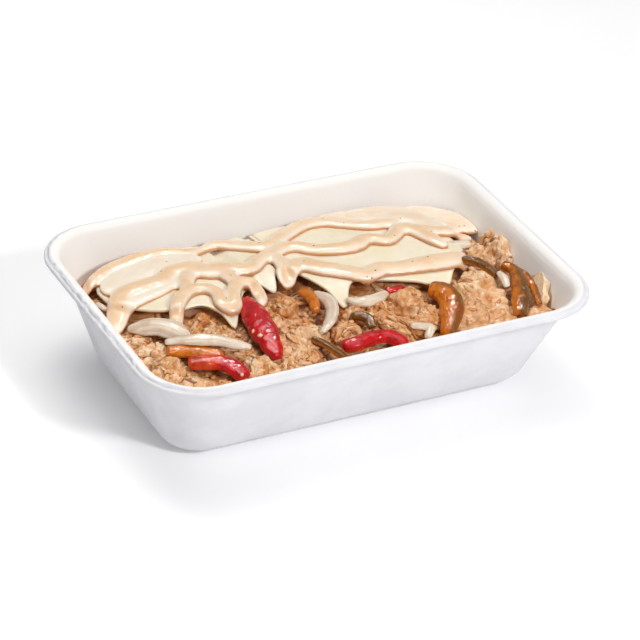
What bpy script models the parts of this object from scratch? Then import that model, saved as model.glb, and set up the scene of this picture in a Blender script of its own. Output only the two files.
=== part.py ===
"""A moulded fibre tray with a hot meal of pulled meat, pepper and onion strips, cheese and a creamy sauce.

Sizes in the tables are millimetres; MM turns them into metres as each mesh is made. +Z is up, +X runs
along the tray, and the origin lies under the middle of its base.
"""

import itertools
import math

import bmesh
import bpy
from mathutils import Matrix, Vector, noise

MM = 0.001

# Tray: outside sizes over the rim, the pulp's thickness, and how its walls lean in.
TRAY_LENGTH = 235.0
TRAY_WIDTH = 162.0
TRAY_HEIGHT = 56.8
TRAY_WALL = 1.0
RIM_CORNER = 31.7
WALL_CORNER = 23.3
BASE_CORNER = 19.8
BASE_FILLET = 13.2
FILLET_CENTRE = TRAY_WALL + BASE_FILLET
FILLET_START = 20.0
CORNER_TIGHTENING = 0.8
# Rim from its cut edge over the crest to the top of the wall: inset from the edge, drop below the crest.
RIM_PROFILE = ((0.0, 2.5), (0.45, 1.2), (1.3, 0.35), (2.4, 0.0), (4.4, 0.15), (6.0, 0.75), (7.3, 1.9),
               (8.4, 3.8))
END_WALL_LEAN = 0.288
SIDE_WALL_LEAN = 0.444
CORNER_STEPS = 7
FILLET_STEPS = 3
WALL_MIDDLE = 22.0

# Food: how far it stays clear of its neighbours, and the height of its surface over the base.
CLEARANCE = 0.35
LEVEL_AT_WALL = 38.5
LEVEL_CROWN = 7.0
LEVEL_HALF_LENGTH = 112.0
LEVEL_HALF_WIDTH = 72.0
# Low swells over the whole surface: their height, and how long and wide they are.
SWELL = 0.5
SWELL_PHASE = 0.8
SWELL_LENGTH = 11.0
SWELL_WIDTH = 9.0

# Cheese: one thickness for all slices, and how far the middle slice dips under its neighbours.
CHEESE_LIFT = 0.9
CHEESE_THICKNESS = 1.8
CHEESE_DIP = 2.4
CHEESE_ROWS = 5

SAUCE_GAP = 0.4

# Vertices nearer than this are welded after a Boolean step, the widest first.
WELD_DISTANCES = (0.3, 0.2, 0.1, 0.05, 0.02, 0.0)
TRIANGLE_METHODS = ("BEAUTY", "EAR_CLIP")
SOLVERS = ("EXACT", "MANIFOLD")

# Meat core: how deep it lies under the surface where it is bare, and under the cheese.
CORE_DEPTH_BARE = 4.5
CORE_DEPTH_COVERED = -0.4


def clear_scene():
    """Removes every object, so that the script can run twice."""
    for old in list(bpy.data.objects):
        bpy.data.objects.remove(old, do_unlink=True)


def make_material(name, colour, roughness):
    """A plain coloured finish."""
    material = bpy.data.materials.new(name)
    material.use_nodes = True
    shader = material.node_tree.nodes["Principled BSDF"]
    shader.inputs["Base Color"].default_value = (*colour, 1.0)
    shader.inputs["Roughness"].default_value = roughness
    shader.inputs["Metallic"].default_value = 0.0
    material.diffuse_color = (*colour, 1.0)
    return material


def make_collection(name):
    """A collection linked to the scene."""
    collection = bpy.data.collections.new(name)
    bpy.context.scene.collection.children.link(collection)
    return collection


def object_from_bmesh(name, bm, collection, material=None):
    """Turns a millimetre bmesh into an object in metres, with its faces pointing out."""
    bmesh.ops.recalc_face_normals(bm, faces=bm.faces)
    bmesh.ops.scale(bm, vec=Vector((MM, MM, MM)), verts=bm.verts)
    mesh = bpy.data.meshes.new(name)
    bm.to_mesh(mesh)
    bm.free()
    made = bpy.data.objects.new(name, mesh)
    collection.objects.link(made)
    if material:
        mesh.materials.append(material)
    return made


def smooth_step(value):
    """0 below 0, 1 above 1, and an even curve between."""
    value = min(max(value, 0.0), 1.0)
    return value * value * (3.0 - 2.0 * value)


def rounded_ring(half_x, half_y, corner, z, long_steps=1, short_steps=1):
    """Points round a rectangle with round corners, counter-clockwise, with its straights divided."""
    corner = min(corner, half_x, half_y)
    centres = ((1, 1), (-1, 1), (-1, -1), (1, -1))
    arcs = []
    for quarter, (sx, sy) in enumerate(centres):
        arc = []
        for step in range(CORNER_STEPS + 1):
            angle = math.radians(90.0 * (quarter + step / CORNER_STEPS))
            x = sx * (half_x - corner) + corner * math.cos(angle)
            y = sy * (half_y - corner) + corner * math.sin(angle)
            arc.append(Vector((x, y, z)))
        arcs.append(arc)
    points = []
    for quarter, arc in enumerate(arcs):
        points.extend(arc)
        steps = long_steps if quarter % 2 == 0 else short_steps
        following = arcs[(quarter + 1) % 4][0]
        for step in range(1, steps):
            points.append(arc[-1].lerp(following, step / steps))
    return points


def solid_loft(rings):
    """A closed loft in flat triangles, ready to be joined or cut."""
    bm = bmesh.new()
    loft(bm, rings, cap_start=True, cap_end=True)
    bmesh.ops.triangulate(bm, faces=bm.faces)
    return bm


def loft(bm, rings, cap_start=False, cap_end=False):
    """Joins rings of equal length with faces, and closes its ends with one face each where asked."""
    loops = [[bm.verts.new(point) for point in ring] for ring in rings]
    for lower, upper in zip(loops, loops[1:]):
        count = len(lower)
        for index in range(count):
            after = (index + 1) % count
            bm.faces.new((lower[index], lower[after], upper[after], upper[index]))
    if cap_start:
        bm.faces.new(list(reversed(loops[0])))
    if cap_end:
        bm.faces.new(loops[-1])
    return loops


def wall_inset(z, lean, clearance=0.0):
    """Distance from the rim's edge in to a wall's inner face at a height, or to a face held clear of it."""
    top_inset, top_drop = RIM_PROFILE[-1]
    top = TRAY_HEIGHT - top_drop
    angle = math.atan(lean)
    radius = BASE_FILLET - clearance
    if z >= FILLET_CENTRE - radius * math.sin(angle):
        return top_inset + (top - z) * lean + clearance / math.cos(angle)
    wall_foot = FILLET_CENTRE - BASE_FILLET * math.sin(angle)
    centre_inset = top_inset + (top - wall_foot) * lean + BASE_FILLET * math.cos(angle)
    below = min(FILLET_CENTRE - z, radius)
    return centre_inset - math.sqrt(radius ** 2 - below ** 2)


def hollow_ring(z, clearance=0.0, long_steps=1, short_steps=1):
    """A ring round the tray's inner face at a height, or held clear of it."""
    top = TRAY_HEIGHT - RIM_PROFILE[-1][1]
    down = min((top - z) / (top - FILLET_CENTRE), 1.0)
    corner = WALL_CORNER + (BASE_CORNER - WALL_CORNER) * down
    if z < FILLET_CENTRE:
        station = FILLET_CENTRE - (FILLET_CENTRE - z) * BASE_FILLET / (BASE_FILLET - clearance)
        drawn_in = wall_inset(station, END_WALL_LEAN) - wall_inset(FILLET_CENTRE, END_WALL_LEAN)
        corner -= drawn_in * CORNER_TIGHTENING
    half_x = TRAY_LENGTH / 2 - wall_inset(z, END_WALL_LEAN, clearance)
    half_y = TRAY_WIDTH / 2 - wall_inset(z, SIDE_WALL_LEAN, clearance)
    return rounded_ring(half_x, half_y, corner - clearance, z, long_steps, short_steps)


def fillet_heights(clearance=0.0):
    """Heights down the rounded foot of the wall, ending on the floor, or held clear of both."""
    heights = []
    for step in range(FILLET_STEPS + 1):
        angle = math.radians(FILLET_START + (90.0 - FILLET_START) * step / FILLET_STEPS)
        heights.append(FILLET_CENTRE - (BASE_FILLET - clearance) * math.sin(angle))
    return heights


def build_tray(collection, material):
    """The tray: its inner face from the rim's cut edge down to the floor, given the pulp's thickness."""
    bm = bmesh.new()
    rings = []
    for inset, drop in RIM_PROFILE:
        half_x = TRAY_LENGTH / 2 - inset
        half_y = TRAY_WIDTH / 2 - inset
        rings.append(rounded_ring(half_x, half_y, RIM_CORNER - inset, TRAY_HEIGHT - drop))
    for z in (WALL_MIDDLE, *fillet_heights()):
        rings.append(hollow_ring(z))
    loft(bm, rings, cap_end=True)
    tray = object_from_bmesh("tray", bm, collection, material)
    mesh = tray.data
    floor = min(mesh.polygons, key=lambda face: face.center.z)
    if floor.normal.z < 0:
        mesh.flip_normals()
    shell = tray.modifiers.new("pulp", "SOLIDIFY")
    shell.thickness = TRAY_WALL * MM
    shell.offset = -1.0
    shell.use_even_offset = True
    mesh.shade_smooth()
    mesh.set_sharp_from_angle(angle=math.radians(50))
    return tray


def food_level(x, y):
    """Height of the meal's surface: level along the walls and crowned in the middle, with low swells."""
    along = max(0.0, 1.0 - (abs(x) / LEVEL_HALF_LENGTH) ** 6)
    across = max(0.0, 1.0 - (y / LEVEL_HALF_WIDTH) ** 2)
    swell = SWELL * math.sin(x / SWELL_LENGTH + SWELL_PHASE) * math.cos(y / SWELL_WIDTH)
    return LEVEL_AT_WALL + LEVEL_CROWN * along * across + swell


def along_path(points, count):
    """Evenly spread samples on a smooth curve through points of any length."""
    dense = []
    last = len(points) - 1
    for index in range(last):
        before = points[max(index - 1, 0)]
        start = points[index]
        end = points[index + 1]
        after = points[min(index + 2, last)]
        for step in range(12):
            t = step / 12
            sample = []
            for a, b, c, d in zip(before, start, end, after):
                square = (2 * a - 5 * b + 4 * c - d) * t ** 2
                cube = (3 * b - a - 3 * c + d) * t ** 3
                sample.append((2 * b + (c - a) * t + square + cube) / 2)
            dense.append(sample)
    dense.append(list(points[-1]))
    lengths = [0.0]
    for a, b in zip(dense, dense[1:]):
        lengths.append(lengths[-1] + math.hypot(b[0] - a[0], b[1] - a[1]))
    samples = []
    position = 0
    for index in range(count):
        target = lengths[-1] * index / (count - 1)
        while position < len(lengths) - 2 and lengths[position + 1] < target:
            position += 1
        span = lengths[position + 1] - lengths[position]
        t = (target - lengths[position]) / span if span > 0 else 0.0
        samples.append([a + (b - a) * t for a, b in zip(dense[position], dense[position + 1])])
    return samples


# Cheese slices: front and back edges from left to right, with corners that sag over the meat below.
CHEESE_SLICES = {
    "cheese_left": {
        "front": ((-98, 36), (-95, 22), (-84, 10), (-71, 3), (-60, 2), (-54, -5), (-49, -14),
                  (-42, -3), (-34, 8)),
        "back": ((-95, 47), (-86, 54), (-72, 60), (-60, 62), (-48, 62.5), (-39, 62), (-31, 60)),
        "dips": False,
    },
    "cheese_middle": {
        "front": ((-42, 6), (-34, 10), (-26, 12), (-19, 5), (-14, 15), (-8, 23), (-2, 21), (6, 15)),
        "back": ((-42, 58), (-26, 61), (-10, 62), (6, 60)),
        "dips": True,
    },
    "cheese_right": {
        "front": ((-5, 16), (-1, 5), (7, -17), (14, -8), (20, -4), (33, -8), (46, -14), (60, -21),
                  (70, -11), (84, 5)),
        "back": ((-6, 61), (10, 63), (30, 63.5), (50, 63), (64, 60), (75, 51), (85, 30)),
        "dips": False,
    },
}
CHEESE_SAGS = ((-49, -15, 5.0, 7.0), (-19, 4, 2.5, 7.0), (7, -18, 4.5, 8.0), (60, -22, 2.5, 9.0),
               (-97, 24, 1.5, 8.0))
MIDDLE_SLICE_ENDS = (-42.0, 6.0)


def cheese_sag(x, y):
    """How far a slice's free corners hang down."""
    total = 0.0
    for cx, cy, depth, reach in CHEESE_SAGS:
        total += depth * math.exp(-((x - cx) ** 2 + (y - cy) ** 2) / reach ** 2)
    return total


def middle_dip(x):
    """How far the middle slice dips towards its ends, where its neighbours lie on it."""
    to_end = min(x - MIDDLE_SLICE_ENDS[0], MIDDLE_SLICE_ENDS[1] - x)
    return CHEESE_DIP * (1.0 - smooth_step((to_end - 13.0) / 6.0))


def build_cheese(name, spec, collection, material):
    """One slice: a sheet ruled between its front and back edges, draped on the meal, with its thickness."""
    columns = 2 * CHEESE_ROWS + (3 if len(spec["front"]) > 9 else 1)
    rows = CHEESE_ROWS
    front = along_path(spec["front"], columns)
    back = along_path(spec["back"], columns)
    bm = bmesh.new()
    grid = []
    for row in range(rows + 1):
        line = []
        for near, far in zip(front, back):
            t = row / rows
            x = near[0] + (far[0] - near[0]) * t
            y = near[1] + (far[1] - near[1]) * t
            z = food_level(x, y) + CHEESE_LIFT - cheese_sag(x, y)
            if spec["dips"]:
                z -= middle_dip(x)
            line.append(bm.verts.new((x, y, z)))
        grid.append(line)
    for near_line, far_line in zip(grid, grid[1:]):
        for column in range(columns - 1):
            corners = (near_line[column], near_line[column + 1], far_line[column + 1], far_line[column])
            bm.faces.new(corners)
    piece = object_from_bmesh(name, bm, collection, material)
    if piece.data.polygons[0].normal.z < 0:
        piece.data.flip_normals()
    sheet = piece.modifiers.new("thickness", "SOLIDIFY")
    sheet.thickness = CHEESE_THICKNESS * MM
    sheet.offset = 1.0
    apply_modifiers(piece)
    return piece


def apply_modifiers(target):
    """Replaces an object's mesh by what its modifiers make of it."""
    bpy.context.view_layer.update()
    graph = bpy.context.evaluated_depsgraph_get()
    mesh = bpy.data.meshes.new_from_object(target.evaluated_get(graph))
    target.modifiers.clear()
    old = target.data
    target.data = mesh
    bpy.data.meshes.remove(old)
    mesh.name = target.name


# Sauce ribbons: points x, y and half the ribbon's width, then its height.
SAUCE_RIBBONS = (
    (((-36, 52, 2.6), (-27, 56, 3.6), (-17, 49, 4.2), (-7, 42, 4.2), (2, 46, 4.0), (12, 52, 4.2),
      (22, 57, 4.4), (33, 57, 4.4), (42, 50, 4.4), (50, 43, 4.2), (59, 41, 4.2), (68, 40, 3.8)), 2.6),
    (((-47, 33, 6.0), (-36, 28, 6.0), (-25, 23, 4.4), (-16, 29, 3.8), (-6, 34, 3.8), (5, 37, 4.0),
      (15, 29, 4.0), (24, 25, 4.2), (34, 24, 4.2), (42, 28, 3.8), (50, 23, 3.6), (56, 26, 3.6),
      (64, 33, 4.0), (69, 28, 4.0), (73, 15, 3.8), (75, 6, 3.4)), 2.6),
    (((-13, 5, 3.4), (-8, 14, 5.0), (1, 18, 5.4), (8, 10, 5.2), (15, 4, 5.0), (25, -3, 4.8),
      (35, -1, 4.8), (44, -3, 4.8), (55, -4, 5.2), (66, -5, 5.4), (76, -6, 4.6), (83, -4, 2.8)), 2.4),
    (((62, 32, 3.8), (72, 28, 4.0), (82, 23, 3.8), (91, 20, 3.2), (97, 18, 2.4)), 2.8),
    (((-102, 40, 2.6), (-97, 46, 3.6), (-88, 52, 4.2), (-77, 55, 4.4), (-66, 57, 4.2), (-54, 57, 3.6),
      (-44, 52, 3.4), (-34, 53, 2.8)), 2.8),
    (((-103, 3, 3.2), (-98, 13, 4.6), (-90, 25, 5.0), (-79, 28, 4.8), (-68, 30, 4.4), (-59, 36, 4.4),
      (-50, 36, 5.6), (-42, 28, 5.4), (-32, 26, 4.6), (-25, 23, 4.0)), 2.6),
    (((-79, -12, 2.4), (-75, -3, 3.0), (-69, 7, 3.4), (-61, 14, 3.4), (-53, 14, 3.4), (-49, 7, 3.2),
      (-51, -3, 3.2), (-46, -6, 3.2), (-42, 4, 3.2), (-36, 12, 3.4), (-30, 11, 3.2), (-28, 3, 3.0),
      (-31, -5, 2.6)), 3.0),
    (((-61, 14, 3.0), (-58, 23, 3.6), (-52, 32, 4.0)), 2.6),
    (((-36, 12, 3.0), (-37, 19, 3.6), (-38, 27, 4.0)), 2.6),
    (((-8, 14, 3.6), (-7, 24, 3.6), (-8, 33, 3.4)), 2.4),
    (((28, 59, 3.6), (42, 58, 5.6), (55, 55, 7.4), (67, 51, 8.6), (76, 43, 8.4), (81, 33, 6.6),
      (84, 24, 4.0)), 2.0),
    (((-95, 30, 4.0), (-87, 39, 6.0), (-76, 43, 7.0), (-62, 46, 7.0), (-50, 46, 5.6),
      (-40, 42, 4.0)), 1.5),
    (((-96, 14, 3.6), (-86, 19, 4.6), (-75, 22, 4.6), (-65, 26, 4.0), (-56, 31, 3.6)), 1.6),
    (((78, 56, 6.0), (88, 52, 7.4), (96, 44, 7.8), (100, 34, 7.0), (101, 25, 4.6)), 2.0),
    (((74, 44, 7.0), (84, 39, 8.0), (92, 33, 7.6), (97, 27, 5.6)), 1.8),
)
RIBBON_SPACING = 7.2
RIBBON_COLUMNS = 4
RIBBON_SPREAD = 1.22
RIBBON_STEP = 0.15
# A ribbon's ends: share of its width and of its height.
RIBBON_END = (0.55, 0.45)
# Height of a ribbon's edge and of its middle over its underside, without the dome.
RIBBON_EDGE = 0.4
RIBBON_MIDDLE = 0.5
# Where the sauce leaves the cheese: how far outside it lies on the slope, the slope's run and its drop.
OFF_CHEESE_START = 5.5
OFF_CHEESE_RUN = 4.0
OFF_CHEESE_DROP = 1.2


def inside_outline(x, y, outline):
    """Signed distance to a closed outline in plan: positive inside it."""
    nearest = 1.0e9
    inside = False
    for (ax, ay), (bx, by) in zip(outline, outline[1:] + outline[:1]):
        if (ay > y) != (by > y) and x < (bx - ax) * (y - ay) / (by - ay) + ax:
            inside = not inside
        length = (bx - ax) ** 2 + (by - ay) ** 2
        t = 0.0 if length == 0 else min(max(((x - ax) * (bx - ax) + (y - ay) * (by - ay)) / length, 0.0), 1.0)
        nearest = min(nearest, math.hypot(x - ax - t * (bx - ax), y - ay - t * (by - ay)))
    return nearest if inside else -nearest


CHEESE_OUTLINES = [[*spec["front"], *reversed(spec["back"])] for spec in CHEESE_SLICES.values()]


def cheese_cover(x, y):
    """Distance in from the edge of the cheese, positive where cheese lies."""
    return max(inside_outline(x, y, outline) for outline in CHEESE_OUTLINES)


def support_height(x, y):
    """What the sauce lies on: the cheese, and past its edge a short slope down to the meat."""
    on_cheese = smooth_step((cheese_cover(x, y) + OFF_CHEESE_START) / OFF_CHEESE_RUN)
    rise = CHEESE_LIFT + CHEESE_THICKNESS - cheese_sag(x, y) * 0.9
    return food_level(x, y) + SAUCE_GAP + rise * on_cheese - OFF_CHEESE_DROP * (1.0 - on_cheese)


def ribbon_section(centre, side, half_width, height, raised):
    """A ribbon's cross-section: a domed top over a bottom that follows what lies under it."""
    top = []
    bottom = []
    for column in range(RIBBON_COLUMNS + 1):
        across = -math.cos(math.pi * column / RIBBON_COLUMNS)
        x = centre[0] + side[0] * half_width * across
        y = centre[1] + side[1] * half_width * across
        base = support_height(x, y) + raised
        dome = math.sqrt(max(0.0, 1.0 - across * across))
        if 0 < column < RIBBON_COLUMNS:
            top.append(Vector((x, y, base + RIBBON_MIDDLE + height * dome)))
            if column % 2 == 0:
                bottom.append(Vector((x, y, base)))
        else:
            top.append(Vector((x, y, base + RIBBON_EDGE)))
    return top + list(reversed(bottom))


def build_ribbon(name, points, height, raised, collection):
    """One poured ribbon of sauce with rounded ends, raised a little so that it runs into its neighbours."""
    length = 0.0
    for a, b in zip(points, points[1:]):
        length += math.hypot(b[0] - a[0], b[1] - a[1])
    count = max(4, round(length / RIBBON_SPACING))
    path = along_path(points, count)
    rings = []
    for index, (x, y, half_width) in enumerate(path):
        before = path[max(index - 1, 0)]
        after = path[min(index + 1, count - 1)]
        along = Vector((after[0] - before[0], after[1] - before[1]))
        along.normalize()
        side = (-along.y, along.x)
        end_width, end_height = RIBBON_END if index in (0, count - 1) else (1.0, 1.0)
        width = half_width * RIBBON_SPREAD * end_width
        rings.append(ribbon_section((x, y), side, width, height * end_height, raised))
    return object_from_bmesh(name, solid_loft(rings), collection)


# Pepper and onion strips: points x, y, lift over the meal and width, then thickness and roll in degrees.
STRIPS = {
    "red_pepper_tall": (((-37, 2, 0.4, 8), (-38.5, -7, 2.2, 11), (-40.5, -20, 3.0, 13),
        (-42, -33, 3.0, 11.5), (-43, -42, 2.4, 8), (-43.8, -48, 1.4, 5)), 3.8, 12),
    "red_pepper_bent": (((-84, -36, 1.6, 7), (-77, -39, 2.2, 8.4), (-71, -42, 2.4, 8.4),
        (-66, -48, 2.2, 8.4), (-64, -56, 1.4, 7)), 3.4, 8),
    "red_pepper_bright": (((-11, -49, 1.6, 6), (-4, -50, 2.2, 8), (4, -49, 2.4, 8), (12, -49.5, 2.2, 8),
        (17, -54, 1.8, 7), (18, -58, 1.0, 5)), 4.4, 0),
    "red_pepper_bit": (((31, -13, -1.2, 4), (36, -14, -1.0, 4.5), (41, -13, -1.2, 4)), 2.6, 0),
    "amber_pepper_left": (((-89, -23, 0.4, 7), (-81, -26, 0.8, 8.6), (-73, -30, 0.8, 8.6),
        (-66, -37, 0.4, 7)), 2.8, 10),
    "olive_pepper_front": (((-23, -41, 2.8, 4), (-19, -46, 3.0, 5.5), (-16, -52, 2.6, 5.5),
        (-12, -60, 1.6, 4.5)), 3.2, -30),
    "amber_pepper_shaded": (((-8, 0, 0.2, 5), (-7, -7, 1.6, 5.5), (-8, -14, 2.2, 5),
        (-11, -22, 2.0, 3.6)), 2.6, 12),
    "olive_pepper_curl": (((4, -30, 2.0, 4), (8, -32, 2.8, 5), (10, -36, 2.8, 5),
        (9, -42, 2.0, 4.2)), 2.6, 25),
    "amber_pepper_large": (((50, -22, 1.0, 8), (54, -27, 3.0, 11), (54, -36, 3.4, 12), (49, -46, 2.6, 11),
        (42, -56, 1.4, 7)), 4.0, 15),
    "olive_pepper_right": (((76, -6, 3.0, 6), (81, -10, 4.2, 6.5), (85, -16, 4.2, 6.5),
        (87, -23, 3.0, 5)), 3.6, -20),
    "amber_pepper_arc": (((100, -17, 2.8, 3), (102.5, -24, 2.8, 3.8), (101.5, -33, 2.4, 3.8),
        (99, -42, 1.8, 3.4), (97, -48, 1.2, 3)), 2.6, 20),
    "olive_pepper_end": (((95, -14, 3.0, 4.4), (98, -20, 3.8, 6), (95.5, -30, 3.8, 8.4), (89, -43, 3.2, 9),
        (82.5, -54, 1.6, 7)), 3.6, 12),
    "olive_pepper_edge": (((-103, 27, -0.6, 3), (-102.5, 21, 0.2, 4), (-102, 14, -0.6, 3)), 2.2, 0),
    "onion_petal": (((-97, 3, 0.8, 4), (-90.5, -1, 2.6, 10.5), (-84, -6, 3.4, 12.5), (-79, -12, 2.8, 10.5),
        (-75, -18, 1.6, 4)), 2.0, 12),
    "onion_long": (((-88, -19, 2.8, 3.6), (-77, -24, 4.4, 6.6), (-67, -28, 4.6, 7.2), (-59, -33, 3.8, 6.4),
        (-52, -37, 2.6, 3.6)), 1.5, 15),
    "onion_arc": (((-4, -5, 1.0, 3.6), (-1, -14, 2.6, 6), (-3, -23, 3.2, 6.4), (-9, -32, 3.0, 6),
        (-16, -38, 2.2, 3.6)), 1.7, 20),
    "onion_crescent": (((9, -15, 0.6, 3.2), (14, -20, 1.8, 7), (21, -21, 2.0, 7.4),
        (30, -17, 1.0, 3.8)), 1.8, 12),
    "onion_hook": (((27, -46, 2.4, 3.8), (32, -48.5, 3.0, 5), (35, -51, 3.0, 5),
        (31, -56, 1.8, 3.8)), 1.6, 10),
    "onion_tucked": (((77, 13, 1.4, 3.8), (84, 11, 1.8, 6.6), (91, 9.5, 2.4, 5.2)), 2.0, 8),
    "onion_wedge": (((88, -22, 4.6, 2.6), (88, -28, 5.0, 4.6), (86, -35, 4.4, 3)), 1.7, 15),
    "onion_edge": (((-100, 32, -0.4, 2.4), (-99.5, 27, 0.0, 3.4), (-98, 22, -0.4, 2.4)), 1.6, 0),
}
STRIP_FINISHES = ("red_pepper", "amber_pepper", "olive_pepper", "onion")
STRIP_SPACING = 5.5
STRIP_SIDES = 8
# Flatness of a strip's rounded section, and its size at its blunt ends.
STRIP_POWER = 0.7
STRIP_END = 0.7


def build_strip(name, points, thickness, roll, collection, material):
    """A cut strip: a flat rounded section carried along a curve, with blunt ends."""
    length = 0.0
    for a, b in zip(points, points[1:]):
        length += math.hypot(b[0] - a[0], b[1] - a[1])
    count = max(4, round(length / STRIP_SPACING) + 1)
    path = [Vector((x, y, food_level(x, y) + lift)) for x, y, lift, _ in along_path(points, count)]
    widths = [sample[3] for sample in along_path(points, count)]
    rings = []
    for index, centre in enumerate(path):
        along = path[min(index + 1, count - 1)] - path[max(index - 1, 0)]
        along.normalize()
        side = Vector((-along.y, along.x, 0.0)).normalized()
        side.rotate(Matrix.Rotation(math.radians(roll), 3, along))
        up = along.cross(side)
        blunt = STRIP_END if index in (0, count - 1) else 1.0
        ring = []
        for step in range(STRIP_SIDES):
            angle = 2 * math.pi * (step + 0.5) / STRIP_SIDES
            across = math.copysign(abs(math.cos(angle)) ** STRIP_POWER, math.cos(angle))
            rise = math.copysign(abs(math.sin(angle)) ** STRIP_POWER, math.sin(angle))
            ring.append(centre + (side * (across * widths[index]) + up * (rise * thickness)) * (blunt / 2))
        rings.append(ring)
    return object_from_bmesh(name, solid_loft(rings), collection, material)


# Meat chunks: x, y, lift of the top over the food level, three radii and the yaw in degrees.
MEAT_CHUNKS = (
    (-96, -4, 0.5, 9, 8, 7, 20), (-93, -18, 1.5, 10, 9, 8, -30), (-92, -33, 1.0, 10, 9, 8, 50),
    (-86, -47, 0.5, 10, 9, 8, 10), (-74, -56, 0.5, 11, 8, 8, -20), (-54, -47, 2.4, 13, 9, 9, -15),
    (-59, -18, 1.5, 10, 7, 7, -35), (-62, -3, -1.0, 9, 7, 6, 30), (-70, -14, -0.5, 8, 7, 6, 10),
    (-25, -34, 3.4, 15, 14, 11, -35), (-39, -45, 1.5, 11, 10, 9, 20), (-22, -8, 2.0, 11, 9, 8, 40),
    (-31, -22, 1.5, 9, 9, 7, 70), (-1, -36, 2.2, 10, 8, 8, 15), (8, -24, 2.2, 8, 6, 6, 0),
    (20, -28, 2.8, 9, 7, 6, 20), (36, -24, 4.2, 11, 10, 9, 60), (27, -40, 2.2, 13, 4, 6, -58),
    (21, -41, 1.6, 12, 3.6, 6, -64), (36, -41, 1.6, 10, 4, 5, -25), (43, -37, 1.8, 7, 6, 6, 0),
    (71, -29, 5.0, 17, 12, 11, -25), (62, -44, 2.4, 11, 10, 9, 10), (76, -45, 1.6, 11, 9, 9, -20),
    (79, -20, 4.2, 10, 8, 7, -30), (91, 3, 2.6, 7, 10, 9, 20), (102, 0, 8.6, 7, 7, 12, 10),
    (102, 11, 8.8, 6, 6, 12, -20), (103, -31, 3.0, 8, 12, 10, 15), (96, -53, 1.6, 10, 9, 9, -40),
    (98, 26, -2.4, 7, 8, 8, 10), (94, 44, -3.0, 8, 10, 7, 30), (-48, -61, 0.4, 13, 8, 8, 10),
    (-24, -61, 0.8, 14, 8, 8, -10), (2, -62, 0.2, 13, 8, 8, 15), (30, -62, 0.6, 13, 8, 8, -12),
    (57, -61, 0.6, 14, 8, 8, 8), (78, -62, 0.2, 11, 8, 8, -20), (-104, 12, -1.0, 6, 9, 7, 0),
    (-100, 36, -1.6, 7, 9, 7, 10), (-80, -3, -0.5, 9, 7, 6, -20),
)
LARGE_CHUNK = 14.0
CHUNK_ROUGHNESS = 0.22
CHEESE_CONTACT = 0.6
CHEESE_MARGIN = 3.0
CHEESE_SLOPE = 1.6
CORE_RINGS = 7
CORE_SINK = 0.4
CORE_LONG_STEPS = 8
CORE_SHORT_STEPS = 5


def meat_ceiling(x, y):
    """Highest that meat may reach: just under the cheese, and freely higher away from its edge."""
    under_cheese = food_level(x, y) + CHEESE_LIFT - cheese_sag(x, y) - CHEESE_CONTACT
    if MIDDLE_SLICE_ENDS[0] < x < MIDDLE_SLICE_ENDS[1]:
        under_cheese -= middle_dip(x)
    return under_cheese + max(0.0, -cheese_cover(x, y) - CHEESE_MARGIN) * CHEESE_SLOPE


def build_chunk(index, spec, collection):
    """A torn chunk of meat: a coarse ball, stretched and pushed in and out."""
    x, y, lift, rx, ry, rz, yaw = spec
    bm = bmesh.new()
    fine = 3 if max(rx, ry) > LARGE_CHUNK else 2
    bmesh.ops.create_icosphere(bm, subdivisions=fine, radius=1.0)
    offset = Vector((index * 3.7, index * 1.9, index * 5.3))
    for vert in bm.verts:
        push = noise.noise(vert.co * 1.6 + offset) + 0.5 * noise.noise(vert.co * 3.4 + offset)
        vert.co *= 1.0 + CHUNK_ROUGHNESS * push * 1.4
    turn = Matrix.Rotation(math.radians(yaw), 4, "Z")
    place = Matrix.Translation((x, y, food_level(x, y) + lift - rz))
    stretch = Matrix.Diagonal((rx, ry, rz, 1.0))
    bmesh.ops.transform(bm, matrix=place @ turn @ stretch, verts=bm.verts)
    for vert in bm.verts:
        vert.co.z = min(vert.co.z, meat_ceiling(vert.co.x, vert.co.y))
    return object_from_bmesh(f"chunk_{index:02d}", bm, collection)


def core_top(x, y):
    """Height of the packed meat between the chunks that show, higher where the cheese lies on it."""
    covered = smooth_step((cheese_cover(x, y) - 1.0) / 6.0)
    lumps = 1.6 * noise.noise(Vector((x / 9.0, y / 9.0, 3.0)))
    bare = CORE_DEPTH_BARE + lumps
    depth = bare + (CORE_DEPTH_COVERED - bare) * covered
    return min(food_level(x, y) - depth, meat_ceiling(x, y) - CORE_SINK * covered)


def build_core(collection):
    """The packed meat that fills the tray, out to the walls and up to just under the surface."""
    rim_z = LEVEL_AT_WALL - 3.0
    heights = [*reversed(fillet_heights(CLEARANCE)), WALL_MIDDLE, rim_z]
    rings = [hollow_ring(z, CLEARANCE, CORE_LONG_STEPS, CORE_SHORT_STEPS) for z in heights]
    edge = rings[-1]
    for step in range(1, CORE_RINGS):
        scale = 1.0 - step / CORE_RINGS
        ring = []
        for point in edge:
            x = point.x * scale
            y = point.y * scale
            ring.append(Vector((x, y, core_top(x, y))))
        rings.append(ring)
    bm = bmesh.new()
    loops = loft(bm, rings, cap_start=True)
    centre = bm.verts.new((0.0, 0.0, core_top(0.0, 0.0)))
    last = loops[-1]
    for index, vert in enumerate(last):
        bm.faces.new((vert, last[(index + 1) % len(last)], centre))
    bmesh.ops.triangulate(bm, faces=bm.faces)
    return object_from_bmesh("core", bm, collection)


def build_hollow(collection):
    """The free space inside the tray, drawn in by the clearance, which trims what is fused to the core."""
    top = TRAY_HEIGHT - RIM_PROFILE[-1][1]
    heights = [*reversed(fillet_heights(CLEARANCE)), WALL_MIDDLE, top]
    rings = [hollow_ring(z, CLEARANCE, CORE_LONG_STEPS, CORE_SHORT_STEPS) for z in heights]
    return object_from_bmesh("hollow", solid_loft(rings), collection)


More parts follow.
